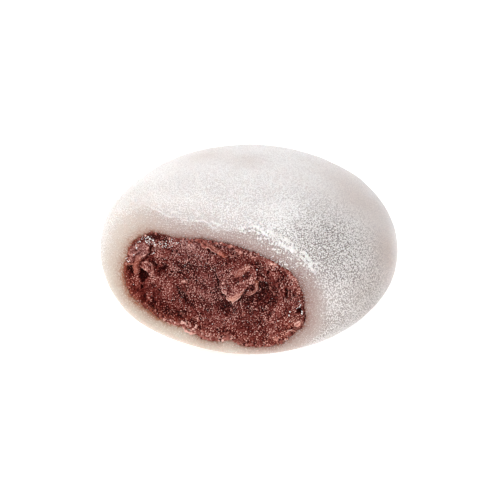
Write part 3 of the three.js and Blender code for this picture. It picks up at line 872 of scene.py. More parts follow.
ear = slab([(-13.9, -1.7), (-13.9, -0.8), (-13.2, -0.3), (-12.4, -0.3), (-11.6, -0.9), (-11.4, -1.9), (-11.7, -2.7), (-12.2, -3.0), (-12.7, -2.3),
            (-13.2, -1.9)], 0.14, 0.30)
pocket([(-14.5, -2.3), (-13.9, -1.9), (-13.2, -2.05), (-12.7, -2.5), (-12.5, -3.2), (-12.9, -3.9), (-13.7, -4.5), (-14.3, -3.9), (-14.6, -3.1)],
       0.80, 0.70, 0.20)
pocket([(-17.3, -2.6), (-16.8, -2.05), (-15.8, -1.9), (-15.6, -2.6), (-15.8, -3.2), (-16.8, -3.1), (-17.2, -3.0)], 0.45, 0.6, 0.12)
pocket([(-17.2, -2.45), (-16.7, -1.95), (-15.9, -1.85), (-15.9, -2.15), (-16.7, -2.3), (-17.0, -2.75)], 0.35, 0.25, 0.22)
tube([(-13.7, -0.6), (-12.6, -0.35), (-11.75, -0.9), (-11.45, -1.9), (-11.8, -2.9)], 0.20, 0.24, 0.22)
tube([(-13.7, -1.75), (-13.35, -1.95), (-12.95, -1.9)], 0.17, 0.20, 0.75, 0.05)
finger = tube([(-14.4, 0.2), (-14.9, -0.9), (-15.05, -1.9), (-14.9, -2.75)], 0.60, 0.56, 0.04, -0.05)
lip = tube([(-17.95, -3.6), (-17.6, -2.4), (-17.0, -1.85), (-16.4, -1.6), (-15.7, -1.55)], 0.26, 0.20, 0.22)
tint = np.maximum(tint, 0.9 * lip)
tint = np.maximum(tint, 0.9 * finger)
# painted shade: the finger, lifted by the painted relief shading, is painted darker again
light = light - 0.10 * finger
pocket([(-13.95, -5.2), (-13.5, -5.2), (-13.4, -5.7), (-13.8, -5.9)], 0.5, 0.3, 0.2)
pocket([(-10.5, -5.2), (-9.9, -5.2), (-10.1, -5.7)], 0.3, 0.3, 0.12)
dent(-16.4, -5.4, 0.9, 1.2, 10, 0.25)
groove([(-10.7, 1.05), (-9.8, 0.95), (-8.9, 1.0)], 0.16, -0.30)
groove([(-8.3, -1.0), (-7.0, -1.05), (-5.9, -0.9), (-5.4, -1.4)], 0.17, -0.40)
groove([(-9.3, -0.3), (-10.4, -1.6), (-10.6, -2.7)], 0.40, -0.35)
groove([(-7.1, -3.7), (-6.0, -4.7), (-4.2, -6.8)], 0.45, -0.40)
groove([(-3.9, -6.3), (-3.0, -7.3)], 0.3, -0.35)
dent(-5.3, -2.3, 0.60, 0.32, 0, 0.35)
pale_and_lit = np.maximum(pale_and_lit, 0.75 * bell(fx + 5.2, 0.60) * bell(fy + 2.35, 0.28))
tube([(-5.8, -9.0), (-5.5, -8.7), (-5.1, -9.0), (-5.4, -9.4)], 0.20, 0.2, 0.35)
dent(-10.6, 1.7, 2.0, 0.9, 15, 0.30)
dent(-9.4, -4.2, 2.2, 1.9, -30, 0.32)
dent(-1.2, -3.6, 3.0, 1.3, 0, 0.20)
dent(-4.9, 0.4, 2.8, 1.2, 0, -0.36)
dent(3.2, -5.6, 2.4, 1.2, -10, -0.28)
for px0, py0, tall in ((-12.0, -7.2, 0.24), (-10.2, -8.6, 0.22), (-14.4, -7.3, 0.22), (-7.9, -7.7, 0.22), (-12.9, -9.2, 0.24), (-16.0, -6.6, 0.20),
                       (-6.6, -10.0, 0.22), (-9.2, -10.4, 0.20)):
    dent(px0, py0, 0.85, 0.6, 30 + 40 * px0, tall, 1.3)
# the top edge: skins peeling from the paste
tube([(-2.9, 6.55), (-1.6, 6.15), (-0.4, 5.7), (0.9, 5.1), (2.2, 4.5)], 0.34, 0.38, 0.0)
peel = bell(line([(-2.9, 6.55), (-1.6, 6.15), (-0.4, 5.7), (0.9, 5.1), (2.2, 4.5)], wx, wy)[0], 0.36)
pale_and_lit = np.maximum(pale_and_lit, 0.7 * bell(fx - 0.5, 0.35) * bell(fy - 5.15, 0.25))
groove([(-2.4, 5.6), (-0.6, 5.0), (1.2, 4.2)], 0.25, -0.32)
peel2 = groove([(3.1, 7.0), (4.4, 6.5), (5.3, 5.8)], 0.35, 0.25, False)
red = np.maximum.reduce([peel, peel2 * 0.5, 0.15 * band])
# low ground
dent(-9.0, -8.4, 5.0, 1.5, -10, -0.22)
dent(9.5, -8.2, 3.2, 1.2, 8, -0.12)
# painted light and shade: lighter and darker places: x, y, half-widths, turn, how much
for x0, y0, wide, tall, turn, amount in (
        (-5.6, 5.0, 3.0, 1.1, -8, 0.20), (-15.4, 1.0, 2.3, 1.2, 42, 0.19), (-12.4, 4.5, 2.6, 0.7, 5, -0.20), (-9.0, 4.6, 1.2, 0.6, 0, -0.14),
        (-10.6, 1.7, 1.8, 1.0, 15, 0.06), (-16.6, -4.2, 1.2, 1.5, 0, -0.08), (-12.6, -6.8, 3.5, 1.6, 0, -0.06), (-9.3, -4.4, 2.0, 1.5, -30, 0.10),
        (-5.0, -6.6, 1.6, 2.2, 40, -0.10), (-6.5, 0.4, 2.2, 1.0, 0, -0.07), (-2.5, -3.2, 2.4, 1.3, 0, 0.05), (3.4, -1.4, 1.8, 1.8, 0, 0.06),
        (5.2, 2.4, 2.4, 0.9, 35, 0.08), (2.2, -5.2, 1.5, 1.0, 0, -0.09), (10.2, -0.6, 1.9, 2.1, 20, -0.15), (12.6, 1.2, 1.4, 1.2, 0, -0.10),
        (7.2, -3.2, 1.4, 0.9, 30, -0.09), (12.9, 5.2, 2.4, 0.8, -12, 0.16), (15.6, 3.4, 0.9, 1.6, -35, 0.08), (13.9, -4.4, 2.0, 2.4, 20, 0.09),
        (14.8, -7.6, 1.8, 1.0, 30, 0.10), (1.0, -8.6, 2.5, 1.2, 0, 0.04), (4.5, -9.9, 1.2, 0.5, 0, -0.10), (-9.5, -9.0, 2.6, 0.9, -10, -0.08),
        (-15.9, -8.5, 1.2, 0.45, -40, 0.22), (0.5, -11.2, 4.0, 0.5, 0, 0.14), (-4.0, 5.6, 2.6, 1.1, -8, 0.10), (-7.2, 4.4, 1.4, 0.9, -8, 0.12),
        (-8.8, 1.4, 2.4, 1.2, 10, 0.06), (-12.9, -4.0, 1.4, 1.2, 0, -0.14), (3.4, -4.6, 1.6, 0.6, -20, -0.16), (9.6, -4.0, 2.6, 1.0, 10, -0.10),
        (7.2, 2.0, 1.0, 1.0, 0, -0.08), (14.2, -0.4, 1.6, 1.4, 0, -0.10), (4.0, 6.3, 3.2, 0.7, -8, 0.10), (11.0, 5.2, 2.0, 0.8, -14, 0.08),
        (15.6, 3.6, 1.0, 1.2, -40, 0.12), (13.0, -9.0, 2.2, 1.4, 10, 0.13), (7.0, -10.2, 1.4, 0.8, 0, 0.14), (-11.0, -10.0, 1.8, 0.9, -15, -0.10),
        (-4.0, -10.2, 2.0, 0.8, 0, -0.07), (-13.4, 0.9, 1.6, 1.4, 40, 0.06), (-14.5, -5.0, 3.5, 3.5, 0, 0.015), (0.0, 5.4, 8.0, 1.8, -8, 0.055), (2.0, -8.6, 8.0, 2.0, 0, 0.055), (0.5, -2.5, 5.0, 3.0, 0, -0.03), (13.0, -2.0, 3.5, 4.5, 0, 0.03)):
    ca, sa = math.cos(math.radians(turn)), math.sin(math.radians(turn))
    ux, uy = (fx - x0) * ca + (fy - y0) * sa, -(fx - x0) * sa + (fy - y0) * ca
    light = light + 1.35 * amount * bell(ux, wide) * bell(uy, tall)

# the outline: sunk and wet at the upper left, flush over the top, proud and crumbly along the foot
theta = np.degrees(phi) % 360
upper_left = bell((theta - 148 + 180) % 360 - 180, 15)
left = bell((theta - 188 + 180) % 360 - 180, 22)
foot = bell((theta - 268 + 180) % 360 - 180, 62)
right_end = bell((theta + 2 + 180) % 360 - 180, 8)
edge_fall = 0.02 - 0.35 * upper_left - 0.10 * left + 0.22 * foot - 0.35 * right_end
rim = step(1 - inset / (0.8 + 1.5 * upper_left))
rise = rise * (1 - 0.6 * rim) + edge_fall * rim
rise = rise + (0.35 + 0.55 * foot) * rim * 0.4 * fbm(P3 / 0.9, 3, 57.0)
wet = np.maximum(wet, step(1.2 - inset / 2.4) * upper_left)
wet = np.maximum(wet, bell(fx - 17.0, 0.9) * bell(fy + 1.6, 1.9))
wet = np.maximum(wet, bell(fx + 15.4, 1.8) * bell(fy - 1.3, 1.5) * 0.7)
wet = np.maximum(wet, bell(fx - 15.2, 0.9) * bell(fy + 3.2, 0.7) * 0.8)
smooth = np.clip(wet * 0.6 + 0.2 * lobe + peel + 0.7 * step(-torn / 0.3 + 0.6) + 0.7 * hook + 0.6 * finger + bell(fx + 15.2, 0.9) * bell(fy + 1.6, 1.6) + 0.55 * bell(fx + 13.0, 4.5) * bell(fy + 7.6, 2.4)
                 + 0.4 * bell(fx - 11.5, 2.4) * bell(fy + 1.4, 2.2), 0, 1)
pale_and_lit = np.maximum(pale_and_lit, 0.7 * foot * step(1 - inset / 0.7) * step((fbm(P3 / 1.3, 2, 58.0) + 0.15) / 0.4))
pale_and_lit = np.maximum(pale_and_lit, 0.40 * band * step(fbm(P3 / 0.7, 2, 59.0) * 3.0 + 0.25))
red = np.maximum(red, 1.0 * bell(inset, 0.45) * (bell(theta - 205, 56) + 0.25 * bell(theta - 30, 20)))
# painted light along the lower left of the outline, lifting the shadow where the paste meets the dough
edge_light = 0.16 * bell(inset, 0.45) * bell(theta - 200, 30)
# redder towards the left and the foot; greyer along the top where starch dust lies, and a painted sheen on the wet lobe
warm = np.clip(bell(inset, 2.0) * (bell(theta - 225, 60) + 0.8 * bell(theta - 325, 30)) + 0.4 * bell(fx + 16.5, 4.0) * bell(fy + 4.0, 4.5)
               + 0.6 * bell(fx - 15.5, 2.2) * bell(fy + 6.0, 3.0), 0, 1)
dust_and_sheen = np.clip(1.35 * bell(inset, 1.0) * bell(theta - 92, 44) + 0.5 * bell(fx + 5.0, 3.2) * bell(fy - 4.0, 2.2) + 0.25 * bell(fx - 1.0, 5.5) * bell(fy + 2.0, 5.0)
                + 0.45 * lobe, 0, 1)
pale_and_lit = np.maximum(pale_and_lit, 0.35 * bell(fx - 16.8, 0.9) * bell(fy + 4.6, 1.0))
# the crushed bean is coarse along the top, finer towards the left and the foot
rough = (1 - 0.65 * smooth) * (1 + 0.30 * bell(inset, 1.8) * bell(theta - 92, 44) + 0.20 * bell(fx - 16.5, 1.6) * bell(fy - 0.5, 3.0)
                               - 0.50 * bell(fx + 13.5, 4.5) * bell(fy + 5.5, 4.5) - 0.22 * bell(fx - 6.0, 9.0) * bell(fy + 9.0, 2.6)
                               - 0.25 * bell(fx - 4.6, 2.8) * bell(fy - 1.6, 2.6) - 0.20 * bell(fx - 11.0, 2.2) * bell(fy - 1.0, 2.6))
rough = rough * (0.68 + 0.50 * step((fbm(P3 / 1.5, 2, 67.0) + 0.25) / 0.5))
smooth_rise = rise.copy()

# grain: crushed bean, about a third of a millimetre
g1, g2, gv = cells(P3[..., :2] / 0.50 + 0.35 * np.stack([perlin(P3 / 0.5, 61.0), perlin(P3 / 0.5, 62.0)], -1), 5)
h1, h2, hv = cells(P3[..., :2] / 0.27 + 9.0, 8)
grain = 0.055 * (0.55 - g1) * (0.5 + gv) + 0.045 * (0.5 - h1) + 0.02 * fbm(P3 / 0.45, 2, 64.0)
coarse = step((fbm(P3 / 2.4, 2, 66.0) + 0.1) / 0.4)
grain = grain * (0.75 + 0.5 * coarse) * (1 - 0.65 * smooth)
rise = rise + grain

lift = base - 0.1 + rise
face = CUT + px[..., None] * ACROSS + py[..., None] * UP + lift[..., None] * OUT
# painted shading from the relief: bumps lighter, hollows and creases darker, at fine and broad scale
cavity_shading = rise - 0.5 * (np.roll(rise, 3, 0) + np.roll(rise, -3, 0)) * 0.5 - 0.5 * (np.roll(rise, 3, 1) + np.roll(rise, -3, 1)) * 0.5
broad_shading = smooth_rise - (sum(np.roll(np.roll(smooth_rise, a, 0), b, 1) for a in (-12, 0, 12) for b in (-12, 0, 12)) / 9)

n_face = face.shape[0] * face.shape[1]
idx = np.arange(n_face).reshape(NS + 1, NT + 1)
face_quads = np.stack([idx[:-1, :-1], idx[1:, :-1], idx[1:, 1:], idx[:-1, 1:]], -1).reshape(-1, 4)
border = np.concatenate([idx[:-1, 0], idx[-1, :-1], idx[:0:-1, -1], idx[0, :0:-1]])
b_phi = phi.ravel()[border]
b_mouth = away_at(b_phi, mouth(b_phi))
wall = []
for k, frac in enumerate((0.012, 0.05, 0.12, 0.22, 0.35, 0.5, 0.65, 0.8, 0.92)):
    a = b_mouth + (np.pi - b_mouth) * frac
    r = hollow(b_phi, a, b_mouth) + 0.18
    wall.append(START + rays(b_phi, a) * r[:, None])
wall = np.array(wall)
nb = len(border)
ring_index = [border] + [n_face + k * nb + np.arange(nb) for k in range(len(wall))]
wall_quads = np.concatenate([
    np.stack([np.roll(a, -1), a, b, np.roll(b, -1)], -1) for a, b in zip(ring_index[:-1], ring_index[1:])
])
pole = n_face + len(wall) * nb
pole_point = START + rays(np.array(0.0), np.array(np.pi)) * (reach(whole_cake, rays(np.array([0.0]), np.array([np.pi]))) - SKIN + 0.18)
last = ring_index[-1]
cap = np.stack([np.full(nb, pole), np.roll(last, -1), last], -1)
verts = np.concatenate([face.reshape(-1, 3), wall.reshape(-1, 3), pole_point.reshape(1, 3)])
fill = len(verts) - n_face


def padded(v, value=0.0):
    return np.concatenate([v.ravel(), np.full(fill, value)])


paste = make("bean_paste", verts, np.concatenate([face_quads, wall_quads]), {
    # tone: the paste's base tone with the painted light and shade added
    "tone": padded(np.clip(0.332 + light + edge_light + 0.85 * np.clip(broad_shading, -0.4, 0.4) + 1.1 * np.clip(cavity_shading, -0.10, 0.10), 0, 1), 0.4),
    "pale_and_lit": padded(np.clip(pale_and_lit, 0, 1)),
    "wet": padded(np.clip(wet, 0, 1)),
    "peel": padded(np.clip(red, 0, 1)),
    "tint": padded(np.clip(tint, 0, 1)),
    "warm": padded(warm, 0.5),
    "dust_and_sheen": padded(dust_and_sheen),
    "rough": padded(rough, 0.6),
}, cap)

RAMP = [(0.0, (32, 0, 0)), (0.18, (70, 10, 6)), (0.40, (106, 44, 38)), (0.60, (141, 80, 73)), (0.80, (184, 127, 118)), (1.0, (236, 190, 178))]
b = Nodes("bean_paste")
mottle = b.noise(420, 2.0, 0.5)
flat = b.tree.nodes.new("ShaderNodeMapping")
flat.inputs["Rotation"].default_value = (LEAN - math.pi / 2, 0.0, 0.0)
b.link(b.coords(), flat.inputs["Vector"])
granule = b.tree.nodes.new("ShaderNodeTexVoronoi")
granule.voronoi_dimensions = "2D"
granule.inputs["Scale"].default_value = 3400
granule.inputs["Randomness"].default_value = 0.9
b.link(flat.outputs["Vector"], granule.inputs["Vector"])
fine = b.math("ADD", b.fit(granule.outputs["Distance"], 0.0, 0.75, 0.64, 0.19), b.fit(b.noise(5200, 0.0, 0.5), 0.30, 0.70, 0.0, 0.18))
rough = b.attr("rough")
spark = b.fit(fine, 0.47, 0.76)
tone = b.math("ADD", b.attr("tone"), b.math("MULTIPLY", b.math("SUBTRACT", mottle, 0.5), 0.26))
each = b.fit(granule.outputs["Color"], 0.15, 0.80, 0.10, 1.70)
tone = b.math("ADD", tone, b.math("MULTIPLY", b.math("MULTIPLY", b.math("MULTIPLY", spark, spark), each), b.math("MULTIPLY", rough, 1.15)))
tone = b.math("SUBTRACT", tone, b.math("MULTIPLY", b.fit(fine, 0.53, 0.22), b.math("MULTIPLY", rough, 0.44)))
tone = b.math("ADD", tone, b.math("MULTIPLY", b.attr("pale_and_lit"), 0.26), clamp=True)
WARM_RAMP = [(0.0, (36, 1, 0)), (0.18, (74, 12, 6)), (0.40, (110, 42, 33)), (0.60, (149, 76, 64)), (0.80, (200, 122, 104)), (1.0, (248, 192, 172))]
colour = b.mix(b.attr("warm"), b.ramp(tone, RAMP), b.ramp(tone, WARM_RAMP))
colour = b.mix(b.math("MULTIPLY", b.attr("dust_and_sheen"), b.fit(tone, 0.15, 0.60, 0.02, 0.42)), colour, (168, 140, 140))
# pale_and_lit: paler torn bean, and painted highlights on lit lips and edges
colour = b.mix(b.math("MULTIPLY", b.attr("pale_and_lit"), 0.40), colour, b.mix(b.attr("tint"), (222, 160, 144), (226, 154, 122)))
colour = b.mix(b.math("MULTIPLY", b.attr("tint"), 0.35), colour, (150, 82, 60))
colour = b.mix(b.math("MULTIPLY", b.attr("peel"), 0.60), colour, (170, 88, 64))
colour = b.mix(b.math("MULTIPLY", b.attr("wet"), 0.30), colour, (60, 20, 14))
bump = b.bump(b.math("ADD", fine, b.math("MULTIPLY", mottle, 0.8)), 0.5, 0.00010)
shader = b.principled(Base_Color=colour, Roughness=b.fit(b.attr("wet"), 0.0, 1.0, 0.55, 0.25), Normal=bump)
shader.inputs["Specular IOR Level"].default_value = 0.05
paste.data.materials.append(b.material)
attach(paste, "root")
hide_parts("red_bean_filling")


def at_grid(field, x, y):
    """A value of the face's grid at (x, y) of the cut."""
    turn = np.arctan2(y - MOUTH_Y, x - MOUTH_X)
    far = np.hypot(x - MOUTH_X, y - MOUTH_Y) / mouth(turn)
    c, s = np.cos(turn) / MOUTH_W, np.sin(turn) / MOUTH_H
    k = np.maximum(np.abs(c), np.abs(s))
    u = np.clip((far * c / k + 1) / 2 * NS, 0, NS - 1e-6)
    v = np.clip((far * s / k + 1) / 2 * NT, 0, NT - 1e-6)
    i, j = u.astype(int), v.astype(int)
    u, v = u - i, v - j
    return (field[i, j] * (1 - u) * (1 - v) + field[i + 1, j] * u * (1 - v)
            + field[i + 1, j + 1] * u * v + field[i, j + 1] * (1 - u) * v)


def true_place(points):
    """From places seen along the camera's line on the unslumped cut to places on the cut."""
    p = np.asarray(points, float)
    q = p.copy()
    for _ in range(6):
        k = slump(q[:, 0], q[:, 1])
        q = p + np.stack([0.437 * k, 0.506 * k], -1)
    return q


# crushed bean: grains lying on the face, each of its own tone, with the painted light and shade of the face added
face_normal = np.cross(np.gradient(face, axis=0), np.gradient(face, axis=1))
face_normal /= np.linalg.norm(face_normal, axis=-1)[..., None]
face_normal *= np.sign((face_normal @ OUT))[..., None]
rng = np.random.default_rng(81)
weight = (1 - 0.8 * smooth) * (0.6 + 0.6 * coarse) * (1 - 0.75 * step(wet))
at, i, j = spread(face, weight, 4200, 82, False)
size = 0.04 + 0.045 * rng.random(len(at)) ** 1.7
tone_each = np.clip(0.36 + light[i, j] + 0.14 * rng.normal(size=len(at)) + 0.28 * (rng.random(len(at)) < 0.10) + 0.5 * np.clip(broad_shading[i, j], -0.5, 0.5) + 0.35 * pale_and_lit[i, j], 0, 1)
bean = blobs("bean_grains", at, face_normal[i, j], size, 20,
             {"tone": tone_each, "wet": wet[i, j], "peel": red[i, j]}, 83, 0.85, 0.42, 0.16, 0.35)

# starch fallen on the paste, thicker where it also paints glints
fallen = (bell(fx + 3.0, 5.5) * bell(fy - 2.6, 3.2) + 0.7 * bell(fx - 3.0, 6.0) * bell(fy + 6.5, 3.0) + 1.2 * bell(fx + 6.0, 2.2) * bell(fy - 4.9, 1.0)
          + 2.6 * bell(fx + 12.4, 1.7) * bell(fy - 4.0, 0.6) + 1.2 * bell(fx + 15.6, 1.0) * bell(fy - 1.2, 1.5) + 2.0 * bell(fx - 17.1, 0.4) * bell(fy + 0.9, 0.7)
          + 1.5 * bell(fx - 15.2, 0.3) * bell(fy + 3.3, 0.6) + 0.12)
at, i, j = spread(face, fallen, 330, 86, False)
size = 0.045 + 0.04 * rng.random(len(at)) ** 2
at = even_out(at, face_normal[i, j], 0.26, 3)
shine = 0.8 * rng.random(len(at))
# painted glints: bright white chips where the paste is wet: x, y, size
wet_glint_spots = [(-12.9, 4.4, 0.15), (-13.1, 4.1, 0.12), (-12.5, 4.2, 0.17), (-13.2, 3.6, 0.17), (-13.4, 3.9, 0.12), (-13.0, 3.4, 0.13), (-11.7, 4.1, 0.14),
             (-11.4, 3.8, 0.16), (-11.2, 3.6, 0.13), (-14.5, 3.2, 0.12), (-14.8, 3.0, 0.10), (-14.1, 3.7, 0.10), (-14.9, 2.0, 0.15), (-15.2, 2.3, 0.10),
             (-15.5, 0.5, 0.14), (-17.1, -0.8, 0.12), (-16.8, -0.6, 0.10), (-16.5, -1.2, 0.12), (-16.9, -1.2, 0.09), (-16.1, -0.9, 0.08), (-11.5, 1.8, 0.12),
             (-11.8, 1.5, 0.08), (-9.9, 4.5, 0.10), (-9.3, 4.1, 0.12), (-9.1, 3.8, 0.10), (-8.5, 4.7, 0.10), (-8.1, 5.1, 0.09), (-9.6, 3.6, 0.08),
             (-10.4, 4.1, 0.08), (-7.6, 4.5, 0.08), (-6.8, 4.8, 0.08), (17.15, -1.0, 0.17), (17.0, -1.3, 0.15), (17.45, -2.2, 0.15), (17.4, -2.6, 0.17), (16.3, -2.0, 0.08), (16.85, -0.3, 0.10), (16.6, -1.8, 0.09),
             (15.2, -3.0, 0.14), (15.1, -3.6, 0.12), (15.4, -4.6, 0.08), (13.8, -1.9, 0.09), (7.2, -0.8, 0.09), (8.6, 3.5, 0.10), (12.3, 5.0, 0.09),
             (14.4, 3.9, 0.08), (15.3, 2.5, 0.08), (13.2, -5.1, 0.08), (3.0, -1.4, 0.08)]
wet_glint_spots = np.array(wet_glint_spots)
k = np.random.default_rng(88).random((64, 4))
wet_glint_line = np.stack([np.interp(k[:, 0], [0, 0.35, 0.7, 1], [-13.3, -11.4, -9.3, -6.2]), np.interp(k[:, 0], [0, 0.35, 0.7, 1], [3.8, 3.9, 3.8, 5.0])], -1)
wet_glint_line = wet_glint_line + (k[:, 1:3] - 0.5) * np.array([0.8, 1.3])
wet_glint_spots = np.concatenate([wet_glint_spots, np.concatenate([wet_glint_line, 0.05 + 0.06 * k[:, 3:] ** 2], -1)])
p = true_place(wet_glint_spots[:, :2] + rng.normal(size=(len(wet_glint_spots), 2)) * 0.05)
spot_at = CUT + p[:, :1] * ACROSS + p[:, 1:] * UP + (slump(p[:, 0], p[:, 1]) - 0.1 + at_grid(rise, p[:, 0], p[:, 1]))[:, None] * OUT
at = np.concatenate([at, spot_at])
size = np.concatenate([size, wet_glint_spots[:, 2]])
flecks_and_glints = blobs("starch_flecks_and_glints", at + 0.02 * OUT, np.concatenate([face_normal[i, j], np.repeat(OUT[None], len(spot_at), 0)]), size, 20,
               {"tone": np.concatenate([shine, np.ones(len(spot_at))])}, 87, 0.8, 0.1, 0.12, 0.4)
g = Nodes("glints")
shader = g.principled(Base_Color=g.mix(g.attr("tone"), (184, 142, 138), (255, 249, 246)),
                      Roughness=g.fit(g.noise(4000, 1.0), 0.3, 0.7, 0.12, 0.3), Normal=g.bump(g.noise(9000, 2.0), 0.4, 0.00002))
shader.inputs["Specular IOR Level"].default_value = 1.0
flecks_and_glints.data.materials.append(g.material)
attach(flecks_and_glints, "root")

# skins and torn edges of the paste, as thin curled strips
shells, shell_quads, shell_tone, shell_start = [], [], [], 0


def husk(path, wide, first, last, side=1, thick_and_lit=0.12, root=-0.06, tone=0.7, seed=1.0, n=18, m=7):
    """A strip along path, which leaves the face at angle first and ends at angle last."""
    global shell_start
    p = true_place(path)
    length = np.concatenate([[0], np.cumsum(np.hypot(*np.diff(p, axis=0).T))])
    k = np.linspace(0, 1, n)
    x, y = np.interp(k * length[-1], length, p[:, 0]), np.interp(k * length[-1], length, p[:, 1])
    for _ in range(3):
        x[1:-1] = (x[:-2] + 2 * x[1:-1] + x[2:]) / 4
        y[1:-1] = (y[:-2] + 2 * y[1:-1] + y[2:]) / 4
    where = np.stack([k * length[-1], np.full(n, seed * 3.7), np.zeros(n)], -1)
    x, y = x + 0.10 * perlin(where / 0.5, 91.0), y + 0.10 * perlin(where / 0.5, 92.0)
    tx, ty = np.gradient(x), np.gradient(y)
    t = np.hypot(tx, ty)
    sideways = side * (-(ty / t)[:, None] * ACROSS + (tx / t)[:, None] * UP)
    start = (CUT + x[:, None] * ACROSS + y[:, None] * UP
             + (slump(x, y) - 0.1 + at_grid(smooth_rise, x, y) + root)[:, None] * OUT)
    w = wide * np.sin(np.pi * (0.06 + 0.88 * k)) ** 0.6 * (1 + 0.7 * perlin(where / 0.45, 93.0))
    angle = np.radians(first + (last - first) * np.linspace(0, 1, m))[None, :] + 0.5 * perlin(where / 0.9, 94.0)[:, None]
    run_x = np.concatenate([np.zeros((n, 1)), np.cumsum(np.cos(angle[:, 1:]), 1)], 1) * w[:, None] / (m - 1)
    run_z = np.concatenate([np.zeros((n, 1)), np.cumsum(np.sin(angle[:, 1:]), 1)], 1) * w[:, None] / (m - 1)
    centre_line = start[:, None] + run_x[..., None] * sideways[:, None] + run_z[..., None] * OUT
    out = -np.sin(angle)[..., None] * sideways[:, None] + np.cos(angle)[..., None] * OUT
    half = (thick_and_lit / 2 * (1 - 0.55 * np.linspace(0, 1, m)))[None, :, None]
    top, under = centre_line + out * half, centre_line - out * half
    a = shell_start + np.arange(n * m).reshape(n, m)
    u = a + n * m
    quads = [np.stack([a[:-1, :-1], a[1:, :-1], a[1:, 1:], a[:-1, 1:]], -1).reshape(-1, 4),
             np.stack([u[:-1, :-1], u[:-1, 1:], u[1:, 1:], u[1:, :-1]], -1).reshape(-1, 4)]
    edge = np.concatenate([a[:-1, 0], a[-1, :-1], a[:0:-1, -1], a[0, :0:-1]])
    edge_u = edge + n * m
    quads.append(np.stack([np.roll(edge, -1), edge, edge_u, np.roll(edge_u, -1)], -1))
    shells.append(np.concatenate([top.reshape(-1, 3), under.reshape(-1, 3)]))
    shell_quads.append(np.concatenate(quads))
    # painted shading: each strip darker at its root and lighter at its free edge
    shade = tone + 0.22 * np.linspace(-0.6, 1, m)[None, :] + 0 * k[:, None]
    shell_tone.append(np.tile(shade.ravel(), 2))
    shell_start += 2 * n * m


# the flake's torn corner, its right-hand hook, the curl at the left, a peel at the top, and strips at the heel and
# along the foot
husk([(3.4, -2.8), (3.9, -3.12), (4.5, -3.6)], 0.30, 15, 60, -1, 0.20, 0.05, 0.84, 1)
husk([(4.5, -3.6), (5.15, -2.95), (5.75, -2.3)], 0.28, 15, 70, -1, 0.18, 0.08, 0.86, 2)
husk([(7.0, -1.25), (7.6, -1.5), (8.2, -1.05), (8.7, -0.3), (8.75, 0.6)], 0.32, 20, 90, -1, 0.20, 0.15, 0.60, 3)
husk([(-12.3, -0.4), (-11.6, -0.9), (-11.4, -1.9), (-11.7, -2.8)], 0.40, 30, 140, 1, 0.12, 0.05, 0.58, 7)
husk([(-2.4, 6.4), (-1.2, 6.0), (0.0, 5.5), (1.0, 5.05)], 0.50, 10, 80, -1, 0.20, 0.12, 0.60, 10)
husk([(16.5, -5.1), (17.1, -4.7), (17.5, -4.1)], 0.60, 10, 50, 1, 0.24, 0.08, 0.80, 17)
husk([(14.8, -7.1), (15.4, -6.8), (16.0, -6.2)], 0.45, 10, 60, 1, 0.20, 0.08, 0.74, 18)
husk([(-4.8, -11.2), (-3.5, -11.6), (-2.2, -11.5)], 0.60, 10, 60, -1, 0.34, 0.12, 0.82, 24)
husk([(-8.4, -10.6), (-7.3, -11.0), (-6.2, -11.1)], 0.50, 10, 60, -1, 0.26, 0.08, 0.76, 25)
husk([(-16.6, -7.0), (-15.9, -7.8), (-14.8, -8.6)], 0.50, 10, 60, -1, 0.26, 0.08, 0.74, 26)
for k in range(26):
    r, turn = rng.random() ** 0.5 * 0.93, rng.random() * 2 * np.pi
    cx = MOUTH_X + r * float(mouth(np.array(turn))) * math.cos(turn)
    cy = MOUTH_Y + r * float(mouth(np.array(turn))) * math.sin(turn)
    way, long, bent = rng.random() * np.pi, 0.2 + 0.35 * rng.random(), 0.5 * rng.normal()
    dx, dy = math.cos(way) * long, math.sin(way) * long
    cx, cy = cx - 0.437 * float(slump(np.array(cx), np.array(cy))), cy - 0.506 * float(slump(np.array(cx), np.array(cy)))
    husk([(cx - dx, cy - dy), (cx - dy * bent * 0.5, cy + dx * bent * 0.5), (cx + dx, cy + dy)], 0.22 + 0.25 * rng.random(),
         15 + 25 * rng.random(), 60 + 60 * rng.random(), 1 if rng.random() < 0.5 else -1, 0.10, -0.02,
         float(np.clip(0.42 + 0.12 * rng.normal(), 0.15, 0.8)), 30 + k, 9, 5)
husks = make("bean_skins", np.concatenate(shells), np.concatenate(shell_quads), {
    "tone": np.clip(np.concatenate(shell_tone), 0, 1),
    "wet": np.zeros(shell_start),
    "peel": np.zeros(shell_start),
})

# crumbs of paste along the outline, some of them out on the cut ring
n = 620
turn = np.radians(np.interp(rng.random(n), np.cumsum([0, 0.10, 0.07, 0.06, 0.10, 0.22, 0.27, 0.18]), [0, 60, 110, 150, 200, 250, 310, 360]))
far = rng.normal(-0.32, 0.24, n) + 0.25 * (rng.random(n) < 0.05) * rng.random(n) * 6
far = np.where(np.abs(np.degrees(turn) - 150) < 18, np.minimum(far, 0.0), far)
far = np.where(np.abs(np.degrees(turn) - 195) < 42, np.minimum(far, -0.2), far)
far = np.clip(far, -1.2, 2.2)
end = bell((np.degrees(turn) + 178) % 360 - 180, 20) + 0.8 * bell(np.degrees(turn) - 192, 26)
size = (0.10 + 0.20 * rng.random(n) ** 2) * np.where(far > 0.1, 0.38, 1.0) * (1 - 0.45 * end)
cx = MOUTH_X + (mouth(turn) + np.minimum(far, 0)) * np.cos(turn)
cy = MOUTH_Y + (mouth(turn) + np.minimum(far, 0)) * np.sin(turn)
inside_at = CUT + cx[:, None] * ACROSS + cy[:, None] * UP + (slump(cx, cy) - 0.1 + at_grid(rise, cx, cy))[:, None] * OUT
ring_at, ring_out = on_ring(turn, np.maximum(far, 0.01))
crumb_at = np.where((far > 0)[:, None], ring_at, inside_at)
crumb_out = np.where((far > 0)[:, None], ring_out, OUT[None])
deg = np.degrees(turn)
